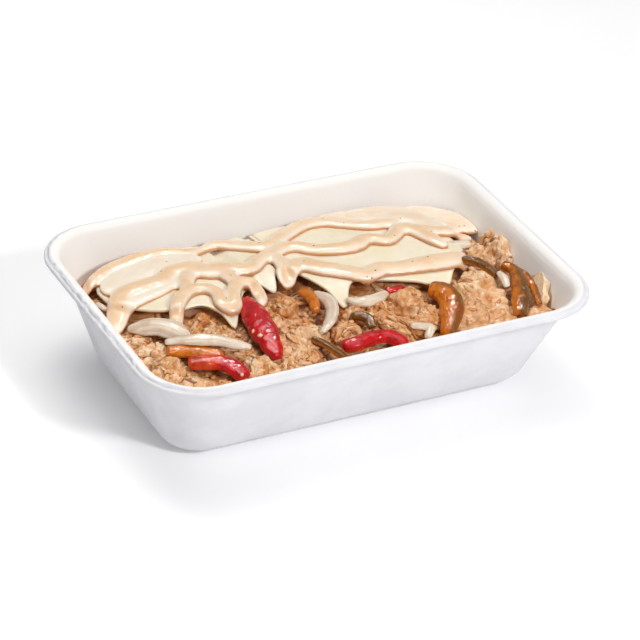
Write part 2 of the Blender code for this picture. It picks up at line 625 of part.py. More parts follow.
def grown_copy(piece, gap, collection):
    """A copy of a piece, swollen by a gap all round."""
    bm = bmesh.new()
    bm.from_mesh(piece.data)
    bmesh.ops.triangulate(bm, faces=bm.faces)
    bm.normal_update()
    moves = []
    for vert in bm.verts:
        stretch = min(vert.calc_shell_factor(), 1.8)
        moves.append(vert.normal * (gap * MM * stretch))
    for vert, move in zip(bm.verts, moves):
        vert.co += move
    mesh = bpy.data.meshes.new(piece.name + "_grown")
    bm.to_mesh(mesh)
    bm.free()
    copy = bpy.data.objects.new(piece.name + "_grown", mesh)
    collection.objects.link(copy)
    mark_helper(copy)
    return copy


def mark_helper(helper):
    """Shows a cutter as wire only."""
    helper.hide_render = True
    helper.display_type = "WIRE"


def boxes_meet(a, b, margin):
    """Whether two meshes' bounding boxes come within a margin of each other."""
    for axis in range(3):
        low_a = min(vert.co[axis] for vert in a.data.vertices)
        high_a = max(vert.co[axis] for vert in a.data.vertices)
        low_b = min(vert.co[axis] for vert in b.data.vertices)
        high_b = max(vert.co[axis] for vert in b.data.vertices)
        if low_a > high_b + margin * MM or low_b > high_a + margin * MM:
            return False
    return True


def combine(target, operation, pieces, name):
    """Joins, cuts or trims a solid with others in one Boolean step, and removes them."""
    group = make_collection(name)
    for piece in pieces:
        for owner in list(piece.users_collection):
            owner.objects.unlink(piece)
        group.objects.link(piece)
    before = target.data.copy()
    for solver in SOLVERS:
        step = target.modifiers.new(name, "BOOLEAN")
        step.operation = operation
        step.solver = solver
        step.operand_type = "COLLECTION"
        step.collection = group
        apply_modifiers(target)
        if keep_largest(target):
            break
        target.data = before.copy()
    else:
        raise ValueError(f"{target.name} is not closed after {name}")
    for piece in pieces:
        bpy.data.objects.remove(piece, do_unlink=True)
    bpy.data.collections.remove(group)
    bpy.data.meshes.remove(before)


def body_of(seed, unseen):
    """Every vertex joined to a first one by edges, taken out of the unseen ones."""
    body = [seed]
    front = [seed]
    while front:
        vert = front.pop()
        for edge in vert.link_edges:
            other = edge.other_vert(vert)
            if other in unseen:
                unseen.remove(other)
                body.append(other)
                front.append(other)
    return body


def welded(mesh, distance, method):
    """A bmesh of the main body, welded and in triangles, or None where that opens or pinches it."""
    bm = bmesh.new()
    bm.from_mesh(mesh)
    if distance > 0:
        bmesh.ops.remove_doubles(bm, verts=bm.verts, dist=distance * MM)
        bmesh.ops.dissolve_degenerate(bm, edges=bm.edges, dist=0.005 * MM)
    unseen = set(bm.verts)
    bodies = []
    while unseen:
        bodies.append(body_of(unseen.pop(), unseen))
    bodies.sort(key=len)
    for body in bodies[:-1]:
        bmesh.ops.delete(bm, geom=body, context="VERTS")
    bmesh.ops.triangulate(bm, faces=bm.faces, ngon_method=method)
    closed = all(len(edge.link_faces) == 2 for edge in bm.edges)
    if closed and all(vert.is_manifold for vert in bm.verts):
        return bm
    bm.free()
    return None


def keep_largest(target):
    """Welds what a Boolean step leaves and drops loose scraps; says whether the body is closed."""
    for distance, method in itertools.product(WELD_DISTANCES, TRIANGLE_METHODS):
        bm = welded(target.data, distance, method)
        if bm:
            bm.to_mesh(target.data)
            bm.free()
            return True
    return False


def cut_clear(target, neighbours, helpers):
    """Cuts a piece clear of the pieces that were placed before it."""
    near = [piece for piece in neighbours if boxes_meet(target, piece, CLEARANCE)]
    if near:
        cutters = [grown_copy(piece, CLEARANCE, helpers) for piece in near]
        combine(target, "DIFFERENCE", cutters, target.name + "_clearance")


def build_sauce(cheese, parts, helpers, material):
    """The sauce: every ribbon run together, and cut clear of the slices under it."""
    ribbons = []
    for index, (points, height) in enumerate(SAUCE_RIBBONS):
        raised = RIBBON_STEP * (index % 3)
        ribbons.append(build_ribbon(f"ribbon_{index:02d}", points, height, raised, helpers))
    sauce = ribbons.pop(0)
    sauce.name = "sauce"
    helpers.objects.unlink(sauce)
    parts.objects.link(sauce)
    combine(sauce, "UNION", ribbons, "ribbons")
    cut_clear(sauce, cheese, helpers)
    trim_to_tray(sauce, helpers)
    dress(sauce, material)
    return sauce


def trim_to_tray(target, helpers):
    """Keeps a piece inside the tray's walls."""
    hollow = build_hollow(helpers)
    mark_helper(hollow)
    combine(target, "INTERSECT", [hollow], target.name + "_walls")


def dress(target, material):
    """Gives a combined piece one material."""
    target.data.materials.clear()
    target.data.materials.append(material)
    for face in target.data.polygons:
        face.material_index = 0


def build_strips(placed, parts, helpers, materials):
    """Every pepper and onion strip, each cut clear of what was placed before it."""
    strips = []
    for name, (points, thickness, roll) in STRIPS.items():
        finish = next(slot for slot in STRIP_FINISHES if name.startswith(slot))
        strip = build_strip(name, points, thickness, roll, parts, materials[finish])
        cut_clear(strip, placed + strips, helpers)
        dress(strip, materials[finish])
        strips.append(strip)
    return strips


def build_meat(placed, parts, helpers, material):
    """The meat: a packed core with the chunks that show fused on, trimmed by the tray and the toppings."""
    meat = build_core(parts)
    meat.name = "meat_heap"
    chunks = []
    for index, spec in enumerate(MEAT_CHUNKS):
        chunks.append(build_chunk(index, spec, helpers))
    combine(meat, "UNION", chunks, "chunks")
    trim_to_tray(meat, helpers)
    cut_clear(meat, placed, helpers)
    dress(meat, material)
    return meat


def main():
    """Builds the tray and the meal in it."""
    clear_scene()
    parts = make_collection("fibre_tray_meal")
    helpers = make_collection("helpers")
    materials = {
        "fibre": make_material("fibre", (0.86, 0.85, 0.84), 0.85),
        "meat": make_material("meat", (0.62, 0.38, 0.20), 0.6),
        "cheese": make_material("cheese", (0.88, 0.83, 0.62), 0.4),
        "sauce": make_material("sauce", (0.94, 0.70, 0.46), 0.25),
        "red_pepper": make_material("red_pepper", (0.55, 0.01, 0.02), 0.3),
        "amber_pepper": make_material("amber_pepper", (0.62, 0.22, 0.02), 0.3),
        "olive_pepper": make_material("olive_pepper", (0.18, 0.12, 0.03), 0.35),
        "onion": make_material("onion", (0.70, 0.60, 0.52), 0.35),
    }
    build_tray(parts, materials["fibre"])
    cheese = []
    for name, spec in CHEESE_SLICES.items():
        cheese.append(build_cheese(name, spec, parts, materials["cheese"]))
    sauce = build_sauce(cheese, parts, helpers, materials["sauce"])
    strips = build_strips(cheese + [sauce], parts, helpers, materials)
    build_meat(cheese + [sauce] + strips, parts, helpers, materials["meat"])


main()
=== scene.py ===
"""Looks of a hot meal of pulled meat, peppers, onion, cheese and creamy sauce in a moulded fibre tray.

Layout values are millimetres over the middle of the tray's base.
MM turns them into metres as each mesh is made.
"""

import itertools
import logging
import math
import random
from dataclasses import dataclass
from enum import Enum
from functools import cached_property

import bmesh
import bpy
import numpy as np
from mathutils import Matrix, Vector, noise
from mathutils.bvhtree import BVHTree


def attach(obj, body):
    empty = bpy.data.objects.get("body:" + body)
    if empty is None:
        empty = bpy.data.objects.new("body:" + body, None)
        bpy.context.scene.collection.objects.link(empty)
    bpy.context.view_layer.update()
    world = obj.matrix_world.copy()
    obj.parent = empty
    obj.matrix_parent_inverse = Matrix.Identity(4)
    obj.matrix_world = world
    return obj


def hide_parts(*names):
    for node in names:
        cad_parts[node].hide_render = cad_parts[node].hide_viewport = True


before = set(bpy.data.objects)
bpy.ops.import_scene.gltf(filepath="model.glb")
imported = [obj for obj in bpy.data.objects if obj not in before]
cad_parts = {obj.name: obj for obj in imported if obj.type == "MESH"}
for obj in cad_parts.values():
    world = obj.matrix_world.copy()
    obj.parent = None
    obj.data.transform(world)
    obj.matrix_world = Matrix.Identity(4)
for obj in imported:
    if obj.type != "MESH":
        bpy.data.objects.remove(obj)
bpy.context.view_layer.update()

MM = 0.001
BODY = "root"
DOWN = Vector((0.0, 0.0, -1.0))
DROP_HEIGHT = 0.08
Array = np.ndarray
Faces = list[tuple[int, ...]]
Form = tuple[np.ndarray, Faces]
Point = tuple[float, ...]
Colour = tuple[float, float, float]
LOG = logging.getLogger("fibre_tray_meal")
DRAWS = np.random.default_rng(5)
LATTICE_SIZE = 4096
PULLS = DRAWS.normal(size=(LATTICE_SIZE, 3))
PULLS /= np.linalg.norm(PULLS, axis=1, keepdims=True)
SPOTS = DRAWS.random((LATTICE_SIZE, 3))


def linear(red: int, green: int, blue: int) -> tuple[float, float, float, float]:
    """A display colour of 0 to 255 as the linear colour that a shader takes.

    Args:
        red: Display red.
        green: Display green.
        blue: Display blue.

    Returns:
        Linear red, green, blue and an alpha of one.
    """
    channels = []
    for value in (red, green, blue):
        part = value / 255.0
        channels.append(part / 12.92 if part <= 0.04045 else ((part + 0.055) / 1.055) ** 2.4)
    return (channels[0], channels[1], channels[2], 1.0)


def ease(values: Array) -> Array:
    """0 below 0, 1 above 1, and an even curve between."""
    held = np.clip(values, 0.0, 1.0)
    return held * held * (3.0 - 2.0 * held)


def smooth_path(points: tuple[Point, ...], count: int) -> Array:
    """Evenly spread samples on a smooth curve through points.

    Args:
        points: Points of any length, with x and y first.
        count: How many samples to return.

    Returns:
        One row for each sample.
    """
    given = np.array(points, dtype=float)
    rows = []
    last = len(given) - 1
    for index in range(last):
        before = given[max(index - 1, 0)]
        start = given[index]
        end = given[index + 1]
        after = given[min(index + 2, last)]
        for step in range(12):
            t = step / 12
            square = (2 * before - 5 * start + 4 * end - after) * t ** 2
            cube = (3 * start - before - 3 * end + after) * t ** 3
            rows.append((2 * start + (end - before) * t + square + cube) / 2)
    rows.append(given[-1])
    dense = np.array(rows)
    steps = np.hypot(*(dense[1:, :2] - dense[:-1, :2]).T)
    reached = np.concatenate(([0.0], np.cumsum(steps)))
    wanted = np.linspace(0.0, reached[-1], count)
    return np.column_stack([np.interp(wanted, reached, dense[:, column]) for column in range(dense.shape[1])])


def path_length(points: tuple[Point, ...]) -> float:
    """Length of a path in plan, from point to point."""
    given = np.array(points, dtype=float)[:, :2]
    return float(np.hypot(*(given[1:] - given[:-1]).T).sum())


def inset_from(x: Array, y: Array, outline: Array) -> Array:
    """Distance in from a closed outline in plan, negative outside it.

    Args:
        x: Places along the tray.
        y: Places across the tray.
        outline: Corners of the outline, one row each.

    Returns:
        One distance for each place.
    """
    inside = np.zeros(len(x), dtype=bool)
    nearest = np.full(len(x), 1.0e9)
    for (ax, ay), (bx, by) in zip(outline, np.roll(outline, -1, axis=0)):
        if ay != by:
            crosses = (ay > y) != (by > y)
            inside ^= crosses & (x < (bx - ax) * (y - ay) / (by - ay) + ax)
        length = (bx - ax) ** 2 + (by - ay) ** 2
        if length > 0:
            t = np.clip(((x - ax) * (bx - ax) + (y - ay) * (by - ay)) / length, 0.0, 1.0)
            nearest = np.minimum(nearest, np.hypot(x - ax - t * (bx - ax), y - ay - t * (by - ay)))
    return np.where(inside, nearest, -nearest)


def lattice_number(cell: Array) -> Array:
    """A well mixed number for each cell of a lattice, below the lattice's size.

    Args:
        cell: Whole x, y and z of each cell.

    Returns:
        One number for each cell.
    """
    mixed = cell[:, 0] * 73856093 ^ cell[:, 1] * 19349663 ^ cell[:, 2] * 83492791
    mixed ^= mixed >> 13
    return (mixed * 1274126177 >> 9) & (LATTICE_SIZE - 1)


def noise_at(places: Array, scale: float, shift: float = 0.0) -> Array:
    """Smooth noise of about -1 to 1 at each place.

    Args:
        places: One row of x, y, z for each place.
        scale: Waves for each millimetre.
        shift: Moves the pattern.

    Returns:
        One value for each place.
    """
    moved = places * scale + shift
    cell = np.floor(moved).astype(np.int64)
    inside = moved - cell
    fade = inside ** 3 * (inside * (inside * 6.0 - 15.0) + 10.0)
    total = np.zeros(len(moved))
    for corner in itertools.product((0, 1), repeat=3):
        step = np.array(corner)
        share = np.prod(np.where(step == 1, fade, 1.0 - fade), axis=1)
        total += share * ((inside - step) * PULLS[lattice_number(cell + step)]).sum(axis=1)
    return total * 1.5


def lumps_at(places: Array, scale: float) -> tuple[Array, Array]:
    """Splits space into lumps.

    Args:
        places: One row of x, y, z for each place.
        scale: Lumps for each millimetre.

    Returns:
        How far each place lies from the border of its lump, and a number of 0 to 1 for that lump.
    """
    moved = places * scale
    cell = np.floor(moved).astype(np.int64)
    first = np.full(len(moved), 9.0)
    second = first.copy()
    owner = np.zeros(len(moved))
    for corner in itertools.product((-1, 0, 1), repeat=3):
        near = cell + np.array(corner)
        number = lattice_number(near)
        gap = np.linalg.norm(near + SPOTS[number] - moved, axis=1)
        closer = gap < first
        second = np.where(closer, first, np.minimum(second, gap))
        first = np.where(closer, gap, first)
        owner = np.where(closer, number, owner)
    return second - first, owner / LATTICE_SIZE


class Piece:
    """A mesh in the making: vertices in millimetres, faces, and values that its finish reads."""

    def __init__(self) -> None:
        """Starts with nothing."""
        self.places: list[Array] = []
        self.faces: Faces = []
        self.values: dict[str, list[Array]] = {}
        self.count = 0

    def add(self, places: Array, faces: Faces, **values: Array) -> None:
        """Adds vertices, the faces that join them, and one row of each value for each vertex.

        Args:
            places: One row of x, y, z for each vertex.
            faces: Vertex numbers of each face, counted from this call's first vertex.
            values: Rows of numbers, or of three numbers, by name.
        """
        self.places.append(places)
        self.faces.extend(tuple(number + self.count for number in face) for face in faces)
        for name, rows in values.items():
            self.values.setdefault(name, []).append(rows)
        self.count += len(places)

    def make(self, name: str, material: bpy.types.Material, slot: str) -> bpy.types.Object:
        """Turns what was added into an object that rides on the tray.

        Args:
            name: The object's name.
            material: Its finish.
            slot: The record's material slot; not used.

        Returns:
            The object.
        """
        mesh = bpy.data.meshes.new(name)
        mesh.from_pydata((np.concatenate(self.places) * MM).tolist(), [], self.faces)
        for key, rows in self.values.items():
            stacked = np.concatenate(rows)
            if stacked.ndim == 2:
                attribute = mesh.attributes.new(key, "FLOAT_VECTOR", "POINT")
                attribute.data.foreach_set("vector", stacked.astype(np.float32).ravel())
            else:
                attribute = mesh.attributes.new(key, "FLOAT", "POINT")
                attribute.data.foreach_set("value", stacked.astype(np.float32))
        mesh.validate()
        mesh.update()
        mesh.shade_smooth()
        return place_on_tray(name, mesh, material)


def place_on_tray(
    name: str, mesh: bpy.types.Mesh, material: bpy.types.Material
) -> bpy.types.Object:
    """Makes an object of a mesh in metres and lets it ride on the tray.

    Args:
        name: The object's name.
        mesh: Its mesh.
        material: Its finish.

    Returns:
        The object.
    """
    made = bpy.data.objects.new(name, mesh)
    bpy.context.scene.collection.objects.link(made)
    mesh.materials.clear()
    mesh.materials.append(material)
    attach(made, BODY)
    LOG.info("%s: %d faces", name, len(mesh.polygons))
    return made


def grid_faces(rows: int, columns: int, closed: bool) -> Faces:
    """Faces between rows of vertices, each row joined to the next.

    Args:
        rows: How many rows there are.
        columns: How many vertices each row has.
        closed: Whether a row's last vertex joins its first.

    Returns:
        The faces as vertex numbers.
    """
    faces = []
    across = columns if closed else columns - 1
    for row in range(rows - 1):
        start = row * columns
        for column in range(across):
            after = (column + 1) % columns
            faces.append((start + column, start + after, start + columns + after, start + columns + column))
    return faces


def tube_faces(rows: int, sides: int) -> Faces:
    """Faces of a closed tube of rings, with a face over each end.

    Args:
        rows: How many rings there are.
        sides: How many vertices each ring has.

    Returns:
        The faces as vertex numbers.
    """
    faces = grid_faces(rows, sides, True)
    faces.append(tuple(range(sides - 1, -1, -1)))
    faces.append(tuple(range((rows - 1) * sides, rows * sides)))
    return faces


def ball(subdivisions: int) -> Form:
    """Vertices and triangles of a unit ball.

    Args:
        subdivisions: How often its triangles are divided.

    Returns:
        The vertices and the faces.
    """
    bm = bmesh.new()
    bmesh.ops.create_icosphere(bm, subdivisions=subdivisions, radius=1.0)
    bm.verts.ensure_lookup_table()
    places = np.array([vert.co[:] for vert in bm.verts])
    faces = [tuple(vert.index for vert in face.verts) for face in bm.faces]
    bm.free()
    return places, faces


class Shader:
    """A material's nodes, with a short call for each kind that the finishes use."""

    def __init__(self, name: str, **sockets: float | tuple[float, ...]) -> None:
        """Makes a material and sets its surface.

        Args:
            name: The material's name.
            sockets: Values for the surface, by socket name with underscores for spaces.
        """
        self.material = bpy.data.materials.new(name)
        self.material.use_nodes = True
        self.tree = self.material.node_tree
        self.surface = self.tree.nodes["Principled BSDF"]
        for key, value in sockets.items():
            self.surface.inputs[key.replace("_", " ")].default_value = value

    def node(self, kind: str, **settings: object) -> bpy.types.Node:
        """A node of a kind, with its settings.

        Args:
            kind: The node's type.
            settings: Its settings, by name.

        Returns:
            The node.
        """
        made = self.tree.nodes.new(kind)
        for key, value in settings.items():
            setattr(made, key, value)
        return made

    def join(self, source: object, target: bpy.types.NodeSocket) -> None:
        """Feeds a socket from another socket, or sets it to a value.

        Args:
            source: A socket or a value.
            target: The socket that takes it.
        """
        if isinstance(source, bpy.types.NodeSocket):
            self.tree.links.new(source, target)
        else:
            target.default_value = source

    def millimetres(self, stretch: Point = (1.0, 1.0, 1.0)) -> bpy.types.NodeSocket:
        """The object's own coordinates in millimetres, stretched along each axis.

        Args:
            stretch: How much each axis is stretched.

        Returns:
            The coordinates' socket.
        """
        source = self.node("ShaderNodeTexCoord")
        scaled = self.node("ShaderNodeVectorMath", operation="MULTIPLY")
        self.join(source.outputs["Object"], scaled.inputs[0])
        scaled.inputs[1].default_value = tuple(part / MM for part in stretch)
        return scaled.outputs[0]

    def value(self, name: str, stretch: Point | None = None) -> bpy.types.NodeSocket:
        """A value that the mesh carries, as a number, or as a stretched vector where a stretch is given.

        Args:
            name: The value's name.
            stretch: How much each axis of a vector is stretched.

        Returns:
            The value's socket.
        """
        source = self.node("ShaderNodeAttribute", attribute_name=name)
        if stretch is None:
            return source.outputs["Fac"]
        scaled = self.node("ShaderNodeVectorMath", operation="MULTIPLY")
        self.join(source.outputs["Vector"], scaled.inputs[0])
        scaled.inputs[1].default_value = stretch
        return scaled.outputs[0]

    def upward(self) -> bpy.types.NodeSocket:
        """How far the surface faces up: 1 level, 0 upright.

        Returns:
            Its socket.
        """
        source = self.node("ShaderNodeNewGeometry")
        parts = self.node("ShaderNodeSeparateXYZ")
        self.join(source.outputs["Normal"], parts.inputs[0])
        return parts.outputs["Z"]

    def noise(
        self, vector: bpy.types.NodeSocket, scale: float, detail: float = 3.0, rough: float = 0.5,
        twist: float = 0.0
    ) -> bpy.types.NodeSocket:
        """Cloudy noise of 0 to 1.

        Args:
            vector: Where it is read.
            scale: Clouds for each unit of the vector.
            detail: How many finer layers it has.
            rough: How strong the finer layers are.
            twist: How far it is distorted.

        Returns:
            Its value socket.
        """
        made = self.node("ShaderNodeTexNoise")
        self.join(vector, made.inputs["Vector"])
        made.inputs["Scale"].default_value = scale
        made.inputs["Detail"].default_value = detail
        made.inputs["Roughness"].default_value = rough
        made.inputs["Distortion"].default_value = twist
        return made.outputs["Fac"]

    def ramp(self, factor: bpy.types.NodeSocket, *stops: tuple[float, Point]) -> bpy.types.NodeSocket:
        """Colours along a factor, each given with its place.

        Args:
            factor: Place along the ramp.
            stops: Each place and its colour, in order.

        Returns:
            The colour's socket.
        """
        made = self.node("ShaderNodeValToRGB")
        self.join(factor, made.inputs["Fac"])
        points = made.color_ramp.elements
        while len(points) < len(stops):
            points.new(0.5)
        for point, (place, colour) in zip(points, stops):
            point.position = place
            point.color = colour
        return made.outputs["Color"]

    def span(
        self, factor: bpy.types.NodeSocket, low: float, high: float, to_low: float = 0.0, to_high: float = 1.0
    ) -> bpy.types.NodeSocket:
        """A factor moved from one range to another and held inside it.

        Args:
            factor: The factor.
            low: Start of its own range.
            high: End of its own range.
            to_low: What the start becomes.
            to_high: What the end becomes.

        Returns:
            The new factor's socket.
        """
        made = self.node("ShaderNodeMapRange", interpolation_type="SMOOTHSTEP")
        self.join(factor, made.inputs["Value"])
        made.inputs["From Min"].default_value = low
        made.inputs["From Max"].default_value = high
        made.inputs["To Min"].default_value = to_low
        made.inputs["To Max"].default_value = to_high
        return made.outputs["Result"]

    def sum(self, operation: str, first: object, second: object) -> bpy.types.NodeSocket:
        """A sum of two numbers, such as ADD or MULTIPLY.

        Args:
            operation: What is done.
            first: A socket or a number.
            second: A socket or a number.

        Returns:
            The result's socket.
        """
        made = self.node("ShaderNodeMath", operation=operation)
        self.join(first, made.inputs[0])
        self.join(second, made.inputs[1])
        return made.outputs[0]

    def mix(self, factor: object, first: object, second: object) -> bpy.types.NodeSocket:
        """Two colours mixed by a factor.

        Args:
            factor: Share of the second colour.
            first: A socket or a colour.
            second: A socket or a colour.

        Returns:
            The mixed colour's socket.
        """
        made = self.node("ShaderNodeMix", data_type="RGBA", blend_type="MIX")
        self.join(factor, made.inputs[0])
        self.join(first, made.inputs[6])
        self.join(second, made.inputs[7])
        return made.outputs[2]

    def bump(
        self, height: bpy.types.NodeSocket, depth: float, strength: float,
        under: bpy.types.NodeSocket | None = None
    ) -> bpy.types.NodeSocket:
        """A normal pushed in and out by a height.

        Args:
            height: Height of 0 to 1.
            depth: How many millimetres the whole height stands for.
            strength: How much of it shows.
            under: A normal that this one lies on.

        Returns:
            The normal's socket.
        """
        made = self.node("ShaderNodeBump")
        self.join(height, made.inputs["Height"])
        made.inputs["Distance"].default_value = depth * MM
        made.inputs["Strength"].default_value = strength
        if under is not None:
            self.join(under, made.inputs["Normal"])
        return made.outputs["Normal"]

    def finish(self, **sockets: object) -> bpy.types.Material:
        """Feeds the surface's sockets and hands the material over.

        Args:
            sockets: What feeds each socket, by name with underscores for spaces.

        Returns:
            The material.
        """
        for key, source in sockets.items():
            self.join(source, self.surface.inputs[key.replace("_", " ")])
        return self.material


@dataclass(frozen=True)
class FibreFinish:
    """Matt white pressed plant fibre with a faint nap."""

    light: tuple[int, int, int] = (231, 230, 233)
    shaded: tuple[int, int, int] = (224, 223, 227)
    # Painted warm bounce light for the inner face.
    inside: tuple[int, int, int] = (245, 242, 238)

    def material(self) -> bpy.types.Material:
        """The fibre's material, with painted warm bounce light making the inner face paler and warmer.

        Returns:
            The material.
        """
        shader = Shader("moulded_fibre", Roughness=0.78, Specular_IOR_Level=0.25)
        place = shader.millimetres()
        cloud = shader.noise(place, 0.05, 4.0, 0.6)
        nap = shader.noise(shader.millimetres((0.6, 0.6, 1.6)), 0.9, 6.0, 0.7, 0.6)
        pits = shader.noise(place, 2.2, 2.0)
        tone = shader.mix(shader.span(cloud, 0.35, 0.65), linear(*self.light), linear(*self.shaded))
        # Painted bounce light: the inner face takes the paler, warmer inside tone.
        tone = shader.mix(shader.value("inner"), tone, linear(*self.inside))
        speck = shader.span(shader.noise(place, 0.55, 5.0, 0.75), 0.66, 0.78, 0.0, 0.10)
        tone = shader.mix(speck, tone, linear(190, 176, 160))
        height = shader.sum("ADD", shader.sum("MULTIPLY", nap, 0.7), shader.sum("MULTIPLY", pits, 0.3))
        return shader.finish(Base_Color=tone, Normal=shader.bump(height, 0.22, 0.5))


@dataclass(frozen=True)
class MeatFinish:
    """Pulled roast poultry: pale torn flesh, browned edges and painted shade in the cracks."""

    pale: tuple[int, int, int] = (243, 218, 184)
    tan: tuple[int, int, int] = (224, 179, 132)
    golden: tuple[int, int, int] = (200, 130, 62)
    brown: tuple[int, int, int] = (168, 92, 40)
    # Painted shade for cracks, hollows and the gaps between chunks.
    crevice_shade_colour: tuple[int, int, int] = (134, 68, 28)

    def material(self) -> bpy.types.Material:
        """The meat's material, read along each chunk's own fibres.

        Returns:
            The material.
        """
        shader = Shader("pulled_meat", Roughness=0.46, Specular_IOR_Level=0.45, Subsurface_Weight=0.3,
                        Subsurface_Radius=(1.0, 0.5, 0.3), Subsurface_Scale=0.0015)
        grain = shader.value("grain", (1.0, 1.0, 1.0))
        fibres = shader.noise(shader.value("grain", (0.14, 1.0, 1.0)), 1.0, 4.0, 0.6, 0.35)
        blotch = shader.noise(grain, 0.16, 5.0, 0.62, 0.4)
        fine = shader.noise(grain, 0.9, 4.0, 0.7)
        mixed = shader.sum("ADD", shader.sum("MULTIPLY", blotch, 0.8), shader.sum("MULTIPLY", fine, 0.2))
        mixed = shader.sum("ADD", mixed, shader.sum("MULTIPLY", shader.value("tone"), 0.38))
        colour = shader.ramp(mixed, (0.36, linear(*self.pale)), (0.58, linear(*self.tan)),
                             (0.80, linear(*self.golden)), (1.0, linear(*self.brown)))
        streak = shader.span(fibres, 0.38, 0.56, 0.4, 0.0)
        colour = shader.mix(streak, colour, linear(*self.golden))
        # Painted shade: the crevice tone darkens cracks, hollows and gaps, by the mask each mesh carries.
        colour = shader.mix(shader.span(shader.value("cavity"), 0.08, 0.85), colour, linear(*self.crevice_shade_colour))
        height = shader.sum("ADD", shader.sum("MULTIPLY", fibres, 0.6), shader.sum("MULTIPLY", fine, 0.4))
        return shader.finish(Base_Color=colour, Normal=shader.bump(height, 0.36, 0.6))


@dataclass(frozen=True)
class CheeseFinish:
    """Soft ivory cheese with a waxy sheen."""

    face: tuple[int, int, int] = (240, 229, 207)
    thin: tuple[int, int, int] = (236, 222, 190)

    def material(self) -> bpy.types.Material:
        """The cheese's material.

        Returns:
            The material.
        """
        shader = Shader("white_cheese", Roughness=0.34, Specular_IOR_Level=0.45, Subsurface_Weight=0.35,
                        Subsurface_Radius=(1.0, 0.8, 0.5), Subsurface_Scale=0.0022)
        place = shader.millimetres()
        cloud = shader.noise(place, 0.08, 4.0, 0.55)
        tone = shader.mix(shader.span(cloud, 0.35, 0.65), linear(*self.face), linear(*self.thin))
        ripples = shader.noise(place, 0.45, 3.0, 0.5, 0.3)
        return shader.finish(Base_Color=tone, Normal=shader.bump(ripples, 0.25, 0.4))


@dataclass(frozen=True)
class SauceFinish:
    """Glossy peach cream that deepens where it is thick, with painted orange shade where it turns down."""

    top: tuple[int, int, int] = (238, 207, 172)
    # Painted shade for the ribbons' sides.
    side_shade: tuple[int, int, int] = (214, 146, 86)
    streak: tuple[int, int, int] = (234, 197, 156)
    thin: tuple[int, int, int] = (243, 229, 210)

    def material(self) -> bpy.types.Material:
        """The sauce's material, paler where it lies thin.

        Returns:
            The material.
        """
        shader = Shader("creamy_sauce", Roughness=0.26, Specular_IOR_Level=0.45, Subsurface_Weight=0.25,
                        Subsurface_Radius=(1.0, 0.55, 0.25), Subsurface_Scale=0.0018, Coat_Weight=0.1,
                        Coat_Roughness=0.1)
        place = shader.millimetres()
        cloud = shader.noise(place, 0.09, 4.0, 0.6, 0.6)
        tone = shader.mix(shader.span(cloud, 0.36, 0.64), linear(*self.top), linear(*self.streak))
        tone = shader.mix(shader.value("deep"), linear(*self.thin), tone)
        # Painted shade: faces turning from level toward upright take the darker orange side tone.
        side_shade_mask = shader.span(shader.upward(), 0.1, 0.85, 0.9, 0.0)
        tone = shader.mix(side_shade_mask, tone, linear(*self.side_shade))
        fine = shader.noise(place, 0.35, 3.0, 0.5)
        return shader.finish(Base_Color=tone, Normal=shader.bump(fine, 0.18, 0.35))


@dataclass(frozen=True)
class PepperFinish:
    """A cooked pepper strip: wet skin on its outer face and softer flesh inside."""

    name: str
    skin: tuple[int, int, int]
    flesh: tuple[int, int, int]
    deep: tuple[int, int, int]
    roughness: float = 0.3
    pimples: float = 0.06

    def material(self) -> bpy.types.Material:
        """The pepper's material, from flesh to skin by what its mesh says.

        Returns:
            The material.
        """
        shader = Shader(self.name, Roughness=self.roughness, Specular_IOR_Level=0.12, Subsurface_Weight=0.18,
                        Subsurface_Radius=(1.0, 0.35, 0.15), Subsurface_Scale=0.0015, Coat_Weight=0.65,
                        Coat_Roughness=0.06)
        grain = shader.value("grain", (1.0, 1.0, 1.0))
        long_lines = shader.noise(shader.value("grain", (0.12, 0.7, 0.7)), 1.0, 3.0, 0.55, 0.3)
        blotch = shader.noise(grain, 0.25, 4.0, 0.6)
        tone = shader.mix(shader.value("skin"), linear(*self.flesh), linear(*self.skin))
        tone = shader.mix(shader.span(blotch, 0.42, 0.72, 0.0, 0.75), tone, linear(*self.deep))
        tone = shader.mix(shader.span(long_lines, 0.5, 0.75, 0.0, 0.3), tone, linear(*self.deep))
        wrinkle = shader.noise(shader.value("grain", (0.35, 0.9, 0.9)), 0.6, 2.0, 0.5, 0.8)
        dots = shader.noise(grain, 0.8, 1.0, 0.5)
        skin = shader.bump(wrinkle, 0.5, 0.7)
        wet = shader.bump(dots, self.pimples, 0.7, skin)
        return shader.finish(Base_Color=tone, Normal=wet, Coat_Normal=wet)


@dataclass(frozen=True)
class OnionFinish:
    """Soft cooked onion, see-through at its thin edges and ribbed along its length."""

    pale: tuple[int, int, int] = (252, 236, 214)
    grey: tuple[int, int, int] = (232, 208, 186)
    edge: tuple[int, int, int] = (216, 178, 138)

    def material(self) -> bpy.types.Material:
        """The onion's material.

        Returns:
            The material.
        """
        shader = Shader("onion", Roughness=0.24, Specular_IOR_Level=0.5, Subsurface_Weight=0.4,
                        Subsurface_Radius=(1.0, 0.7, 0.45), Subsurface_Scale=0.003, Coat_Weight=0.3,
                        Coat_Roughness=0.1, Transmission_Weight=0.2, IOR=1.36)
        ribs = shader.noise(shader.value("grain", (0.04, 0.8, 0.8)), 1.0, 3.0, 0.6, 0.2)
        blotch = shader.noise(shader.value("grain", (1.0, 1.0, 1.0)), 0.18, 3.0)
        tone = shader.mix(shader.span(ribs, 0.35, 0.65), linear(*self.pale), linear(*self.grey))
        tone = shader.mix(shader.span(blotch, 0.5, 0.75, 0.0, 0.5), tone, linear(*self.edge))
        tone = shader.mix(shader.value("skin"), linear(*self.edge), tone)
        wet = shader.bump(ribs, 0.25, 0.7)
        return shader.finish(Base_Color=tone, Normal=wet, Coat_Normal=wet)


